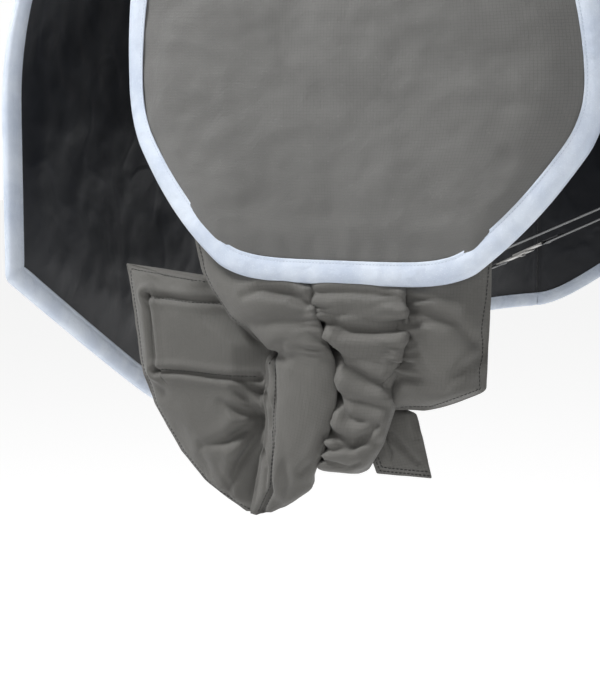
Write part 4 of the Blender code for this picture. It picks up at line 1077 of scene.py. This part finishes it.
for node, under, body, west, east, top, low, rear, front in (
        ("hook_patch", "guard_wrap_tab_stuffed", "guard_left", -0.224, -0.144, -0.649, -0.723, -1.0654, -1.0636),
        ("loop_patch", "guard_right_wing_stuffed", "guard_right", 0.065, 0.121, -0.5975, -0.6825, -1.0798,
         -1.0780)):
    x, z = np.meshgrid(np.linspace(west, east, 41), np.linspace(top, low, 45), indexing="ij")
    inset = np.minimum(np.minimum(x - west, east - x), np.minimum(top - z, z - low))
    rise = (front - rear) * (0.35 + 0.65 * hollow(inset, 0.001, 0.003))
    rise = rise - 0.0003 * np.exp(-((inset - 0.004) / 0.0008) ** 2)
    near = np.stack([x, z * 0 + rear, z], -1)
    far = np.stack([x, rear + rise, z], -1)
    if grid_normals(near)[5, 5, 1] < 0:
        near, far = near[::-1], far[::-1]
    finish = hook_and_loop(f"{node}_pile", 900.0 if node == "hook_patch" else 420.0, 0.0008)
    patch = place(f"{node}_sewn", cloth_mesh(node, near, far), finish, body)
    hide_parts(node)
    top - low
    ring = [(west + 0.004, top - 0.004), (east - 0.004, top - 0.004), (east - 0.004, low + 0.004),
            (west + 0.004, low + 0.004), (west + 0.004, top - 0.004)]
    ROWS.setdefault((body, "dark"), []).append(np.array([(a, front + 0.0002, b) for a, b in ring]))


# ---- Straps -----------------------------------------------------------------------------------
# Flat woven polyester webbing: two belly straps inside the rug and two chest straps outside it,
# each in two parts, sewn down at one end and folded round a plate's bar at the other.
def grey_webbing():
    paint = Paint("grey_webbing", 0.7, Sheen_Weight=0.2)
    spot, across, along = paint.cloth()
    rib = (along * (2 * pi / 0.0019)).wave() * (across * (2 * pi / 0.0024)).wave()
    edge = paint.noise(paint.space(), 300.0, 2.0)
    colour = paint.mix(paint.ramp(rib, -0.6, 0.8), (0.085, 0.088, 0.092), (0.19, 0.195, 0.20))
    return paint.finish(colour, 0.62 + 0.2 * edge, paint.bump(rib, 0.0004, 0.8))


WEBBING_CLOTH = grey_webbing()
WEBBING, LOOP_RADIUS, LOOP_TAIL, FOLD_BACK = 0.0016, 0.0031, 0.006, 0.022
PLATE_LENGTH, PLATE_THICK, BAR_WIDTH = 0.050, 0.0020, 0.0030
PLATE_STEP = PLATE_THICK + CLEAR
BARS_APART = (PLATE_LENGTH - BAR_WIDTH / 2 - 0.007) + PLATE_LENGTH - BAR_WIDTH / 2 - 0.006 - 0.0065 - 0.0015


def loop_path(bar_x, bar_y, opens):
    ply = WEBBING / 2 + CLEAR * 1.5
    arc = [(bar_x - opens * LOOP_RADIUS * cos(t), bar_y + LOOP_RADIUS * sin(t))
           for t in np.linspace(-pi / 2, pi / 2, 19)]
    lower = (bar_x + opens * LOOP_TAIL, bar_y - ply)
    upper = (bar_x + opens * LOOP_TAIL, bar_y + ply)
    return [lower] + arc + [upper, (upper[0] + opens * FOLD_BACK, upper[1])]


def ribbon(node, path, width, origin, axes, body):
    """Webbing along a flat path; axes are its run, its width and its rise, as directions."""
    line = eased(resampled(np.array(path), 0.0016), 4)
    heading = np.gradient(line, axis=0)
    heading /= np.linalg.norm(heading, axis=1, keepdims=True)
    side = np.stack([-heading[:, 1], heading[:, 0]], 1)
    run, wide, rise = axes
    share = np.linspace(-0.5, 0.5, 13)
    edge = np.minimum((0.5 - np.abs(share)) * width / 0.0012, 1.0)
    layers = []
    for sign in (-1, 1):
        flat = line[:, None] + side[:, None] * (sign * WEBBING / 2 * (0.45 + 0.55 * edge))[None, :, None]
        layers.append(origin + flat[..., :1] * run + flat[..., 1:] * rise + (share * width)[None, :, None] * wide)
    near, far = layers
    if (grid_normals(near) * (far - near)).sum() < 0:
        near, far = near[::-1], far[::-1]
    obj = place(f"{node}_web", cloth_mesh(node, near, far), WEBBING_CLOTH, body)
    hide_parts(node)
    max(area_of(near) / width, 0.02)
    return line


def sewn_box(line, first, last, width, lift, origin, axes, body):
    """A stitched box with a cross near a strap's sewn end."""
    run, wide, rise = axes
    length = np.concatenate([[0.0], np.cumsum(np.linalg.norm(np.diff(line, axis=0), axis=1))])
    half = width / 2 - 0.004
    corners = [(first, -half), (last, -half), (last, half), (first, half), (first, -half), (last, half)]
    spots = resampled(np.array(corners), 0.002)
    a, b = [np.interp(spots[:, 0], length, line[:, k]) for k in (0, 1)]
    points = origin + a[:, None] * run + (b + lift)[:, None] * rise + spots[:, 1:] * wide
    ROWS.setdefault((body, "dark"), []).append(points)


def closed_strap(prefix, word, width, origin, axes, tab_start, strap_start, lower_bar, bodies):
    tab = ribbon(f"{prefix}_tab_{word}", tab_start + loop_path(lower_bar, 0.0, -1), width, origin, axes,
                 bodies[0])
    upper_loop = loop_path(lower_bar + BARS_APART, PLATE_STEP, 1)
    strap = ribbon(f"{prefix}_strap_{word}", strap_start + upper_loop, width, origin, axes, bodies[1])
    sewn_box(tab, 0.004, 0.040, width, WEBBING / 2 + 0.0002, origin, axes, bodies[0])
    sewn_box(strap, 0.004, 0.040, width, WEBBING / 2 + 0.0002, origin, axes, bodies[1])


def belly_half_width(station):
    return REAR_HALF_WIDTH + (FRONT_HALF_WIDTH - REAR_HALF_WIDTH) * float(smooth(station / BODY_LENGTH))


for word, station in (("rear", 0.85), ("front", 1.13)):
    wall = belly_half_width(station + 0.020) - CLEAR - WEBBING / 2
    left_end, right_end = np.array([-wall, -0.765]), np.array([wall, -0.455])
    length = float(np.linalg.norm(right_end - left_end))
    c, s = (right_end - left_end) / length
    axes = (np.array([c, 0.0, s]), np.array([0.0, 1.0, 0.0]), np.array([-s, 0.0, c]))
    origin = np.array([-wall, TAIL_Y + station, -0.765])
    up = (0.055 * s, 0.055 * c)
    closed_strap("belly", word, 0.040, origin, axes, [up, (0.0, 0.0)], [(length + up[0], up[1]), (length, 0.0)],
                 length * 0.20, ("rug", "rug"))


def chest_plan(x, side, height):
    turn = np.arccos(side * x / FRONT_HALF_WIDTH)
    along = BODY_LENGTH + TURN_GIRTH * turn / (pi / 2)
    stand = height
    if side < 0:
        stand = height + LAP_STAND * float(smooth((along - SEAM_ALONG) / (flat_from - SEAM_ALONG)))
    tilt = np.arctan2(FRONT_HALF_WIDTH * sin(turn), CHEST_REACH * cos(turn))
    reach = TAIL_Y + BODY_LENGTH + CHEST_REACH * sin(turn)
    return np.array([x + side * stand * cos(tilt), reach + stand * sin(tilt)])


turn = np.arccos(0.110 / FRONT_HALF_WIDTH)
back = np.array([FRONT_HALF_WIDTH * sin(turn), -CHEST_REACH * cos(turn)])
back /= np.linalg.norm(back)
out = np.array([-back[1], back[0]])
foot = chest_plan(0.110, 1, 0.0) + out * (STACK + 0.0165)


def sewn_spots(ends, side):
    spots = []
    for x in np.linspace(ends[0], ends[1], 9):
        offset = chest_plan(x, side, STACK + CLEAR * 2.5 + WEBBING / 2) - foot
        spots.append((-float(offset @ back), float(offset @ out)))
    return spots


for word, drop in (("upper", 0.475), ("lower", 0.575)):
    axes = (np.array([-back[0], -back[1], 0.0]), np.array([0.0, 0.0, 1.0]), np.array([out[0], out[1], 0.0]))
    closed_strap("chest", word, 0.038, np.array([foot[0], foot[1], -drop]), axes, sewn_spots((0.225, 0.175), 1),
                 sewn_spots((-0.050, 0.010), -1), -BARS_APART / 2, ("rug", "chest_front_left"))


# ---- Plates and sliders -----------------------------------------------------------------------
# Stamped steel plates with a satin nickel finish, each a bar for the webbing and either a tongue
# or the slot that it drops through, and moulded black sliders that take up the belly straps.
def satin_nickel():
    paint = Paint("satin_nickel", 0.3)
    paint.shader.inputs["Metallic"].default_value = 1.0
    where = paint.space()
    brushed = paint.noise(where, 220.0, 4.0, 0.7, 0.4)
    worn = paint.noise(where, 35.0, 3.0)
    colour = paint.mix(paint.ramp(worn, 0.35, 0.7), (0.52, 0.51, 0.49), (0.66, 0.65, 0.63))
    return paint.finish(colour, 0.22 + 0.20 * brushed + 0.08 * worn, paint.bump(brushed, 0.0002, 0.35))


def moulded_black():
    paint = Paint("moulded_black", 0.45)
    grain = paint.noise(paint.space(), 700.0, 3.0, 0.6)
    colour = paint.mix(grain, (0.014, 0.014, 0.015), (0.028, 0.028, 0.030))
    return paint.finish(colour, 0.38 + 0.2 * grain, paint.bump(grain, 0.0002, 0.5))


NICKEL, MOULDED = satin_nickel(), moulded_black()
for node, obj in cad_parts.items():
    if "plate" in node or "hook_" in node and "patch" not in node or "slider" in node:
        obj.data.materials.clear()
        obj.data.materials.append(MOULDED if "slider" in node else NICKEL)


# ---- Stitching --------------------------------------------------------------------------------
# Lockstitched rows of bonded thread: pale on the blue tape, charcoal on the grey cloth, where
# they run 5 mm inside the guard's hems. Each stitch is one short, slightly sunken loop.
def on_rear(obj, line, lift=0.0003):
    """The (x, z) points of a line in mm laid on a panel's rear face."""
    mesh = obj.data
    tree = BVHTree.FromPolygons([v.co for v in mesh.vertices], [tuple(f.vertices) for f in mesh.polygons])
    spots = resampled(np.array(line, float) / 1000, 0.0025)
    found = []
    for x, z in spots:
        hit = tree.ray_cast(Vector((x, -1.4, z)), Vector((0.0, 1.0, 0.0)))[0]
        if hit is not None:
            found.append((x, hit.y - lift, z))
    return np.array(found)


for obj, body, line in (
        (left_wing, "guard_left", [(-169, -575), (-158, -620), (-147, -637), (-125, -664), (-89, -687), (-79, -695),
                                   (-85, -706), (-86, -708)]),
        (left_wing, "guard_left", [(-75, -700), (-72, -730), (-72, -785), (-76, -828), (-94, -856)]),
        (left_wing, "guard_left", [(-80, -704), (-79, -730), (-80, -785), (-84, -830), (-101, -858)]),
        (wrap_tab, "guard_left", [(-150, -634), (-251, -623), (-247, -651), (-236, -726), (-222, -758),
                                  (-192, -804), (-165, -833), (-120, -861)]),
        (wrap_tab, "guard_left", [(-140, -655), (-225, -650), (-215, -722), (-110, -725)]),
        (right_wing, "guard_right", [(136, -600), (132, -650), (129, -721), (105, -731), (80, -741), (52, -743)]),
        (rear_tab, "tail_guard", [(13, -772), (14, -790), (22, -811), (72, -812)]),
        (rear_tab, "tail_guard", [(17, -770), (18, -789), (25, -807), (70, -808)])):
    ROWS.setdefault((body, "guard"), []).append(on_rear(obj, line))


def stitch_tree(finish):
    """Evenly spaced thread loops along every line of a mesh."""
    tree = bpy.data.node_groups.new("stitch_row", "GeometryNodeTree")
    face = tree.interface
    face.new_socket("Rows", in_out="INPUT", socket_type="NodeSocketGeometry")
    for name in ("Pitch", "Stitch length", "Thread thickness"):
        face.new_socket(name, in_out="INPUT", socket_type="NodeSocketFloat")
    face.new_socket("Stitches", in_out="OUTPUT", socket_type="NodeSocketGeometry")

    def node(kind, **settings):
        made = tree.nodes.new(kind)
        for key, value in settings.items():
            setattr(made, key, value)
        return made

    link = tree.links.new
    start, end = node("NodeGroupInput"), node("NodeGroupOutput")
    curve = node("GeometryNodeMeshToCurve")
    link(start.outputs["Rows"], curve.inputs["Mesh"])
    spots = node("GeometryNodeCurveToPoints", mode="LENGTH")
    link(curve.outputs[0], spots.inputs["Curve"])
    link(start.outputs["Pitch"], spots.inputs["Length"])
    loop = node("GeometryNodeMeshUVSphere")
    loop.inputs["Segments"].default_value = 6
    loop.inputs["Rings"].default_value = 4
    loop.inputs["Radius"].default_value = 1.0
    scale = node("ShaderNodeCombineXYZ")
    link(start.outputs["Thread thickness"], scale.inputs[0])
    link(start.outputs["Thread thickness"], scale.inputs[1])
    link(start.outputs["Stitch length"], scale.inputs[2])
    shaped = node("GeometryNodeTransform")
    link(loop.outputs["Mesh"], shaped.inputs["Geometry"])
    link(scale.outputs[0], shaped.inputs["Scale"])
    copies = node("GeometryNodeInstanceOnPoints")
    link(spots.outputs["Points"], copies.inputs["Points"])
    link(shaped.outputs[0], copies.inputs["Instance"])
    link(spots.outputs["Rotation"], copies.inputs["Rotation"])
    real = node("GeometryNodeRealizeInstances")
    link(copies.outputs[0], real.inputs[0])
    paint = node("GeometryNodeSetMaterial")
    paint.inputs["Material"].default_value = finish
    link(real.outputs[0], paint.inputs["Geometry"])
    link(paint.outputs[0], end.inputs[0])
    return tree


def thread(name, dark, light):
    paint = Paint(name, 0.6, Sheen_Weight=0.2)
    twist = paint.noise(paint.space(), 1500.0, 2.0)
    return paint.finish(paint.mix(twist, dark, light), 0.55 + 0.2 * twist, paint.bump(twist, 0.0001, 0.6))


PALE_THREAD = thread("pale_thread", (0.36, 0.42, 0.52), (0.52, 0.58, 0.68))
CHARCOAL_THREAD = thread("charcoal_thread", (0.012, 0.012, 0.012), (0.035, 0.034, 0.032))
THREADS = {"rug": (PALE_THREAD, 0.0034, 0.0013, 0.00032), "guard": (CHARCOAL_THREAD, 0.0040, 0.0017, 0.00062)}
THREADS["flap"] = THREADS["rug"]
THREADS["dark"] = THREADS["guard"]
for (body, kind), lines in ROWS.items():
    finish, pitch, long, thick = THREADS[kind]
    points, edges = [], []
    for line in lines:
        first = len(points)
        points += [tuple(p) for p in line]
        edges += [(k, k + 1) for k in range(first, len(points) - 1)]
    mesh = bpy.data.meshes.new("rows")
    mesh.from_pydata(points, edges, [])
    rows = bpy.data.objects.new(f"stitches_{body}_{kind}", mesh)
    bpy.context.scene.collection.objects.link(rows)
    tree = stitch_tree(finish)
    stitched = rows.modifiers.new("stitches", "NODES")
    stitched.node_group = tree
    sockets = {item.name: item.identifier for item in tree.interface.items_tree if item.item_type == "SOCKET"}
    stitched[sockets["Pitch"]] = pitch
    stitched[sockets["Stitch length"]] = long
    stitched[sockets["Thread thickness"]] = thick
    made = bpy.data.meshes.new_from_object(rows.evaluated_get(bpy.context.evaluated_depsgraph_get()))
    rows.modifiers.remove(stitched)
    rows.data = made
    made.shade_smooth()
    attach(rows, body)
    "binding" if kind in ("rug", "flap") else "ripstop"
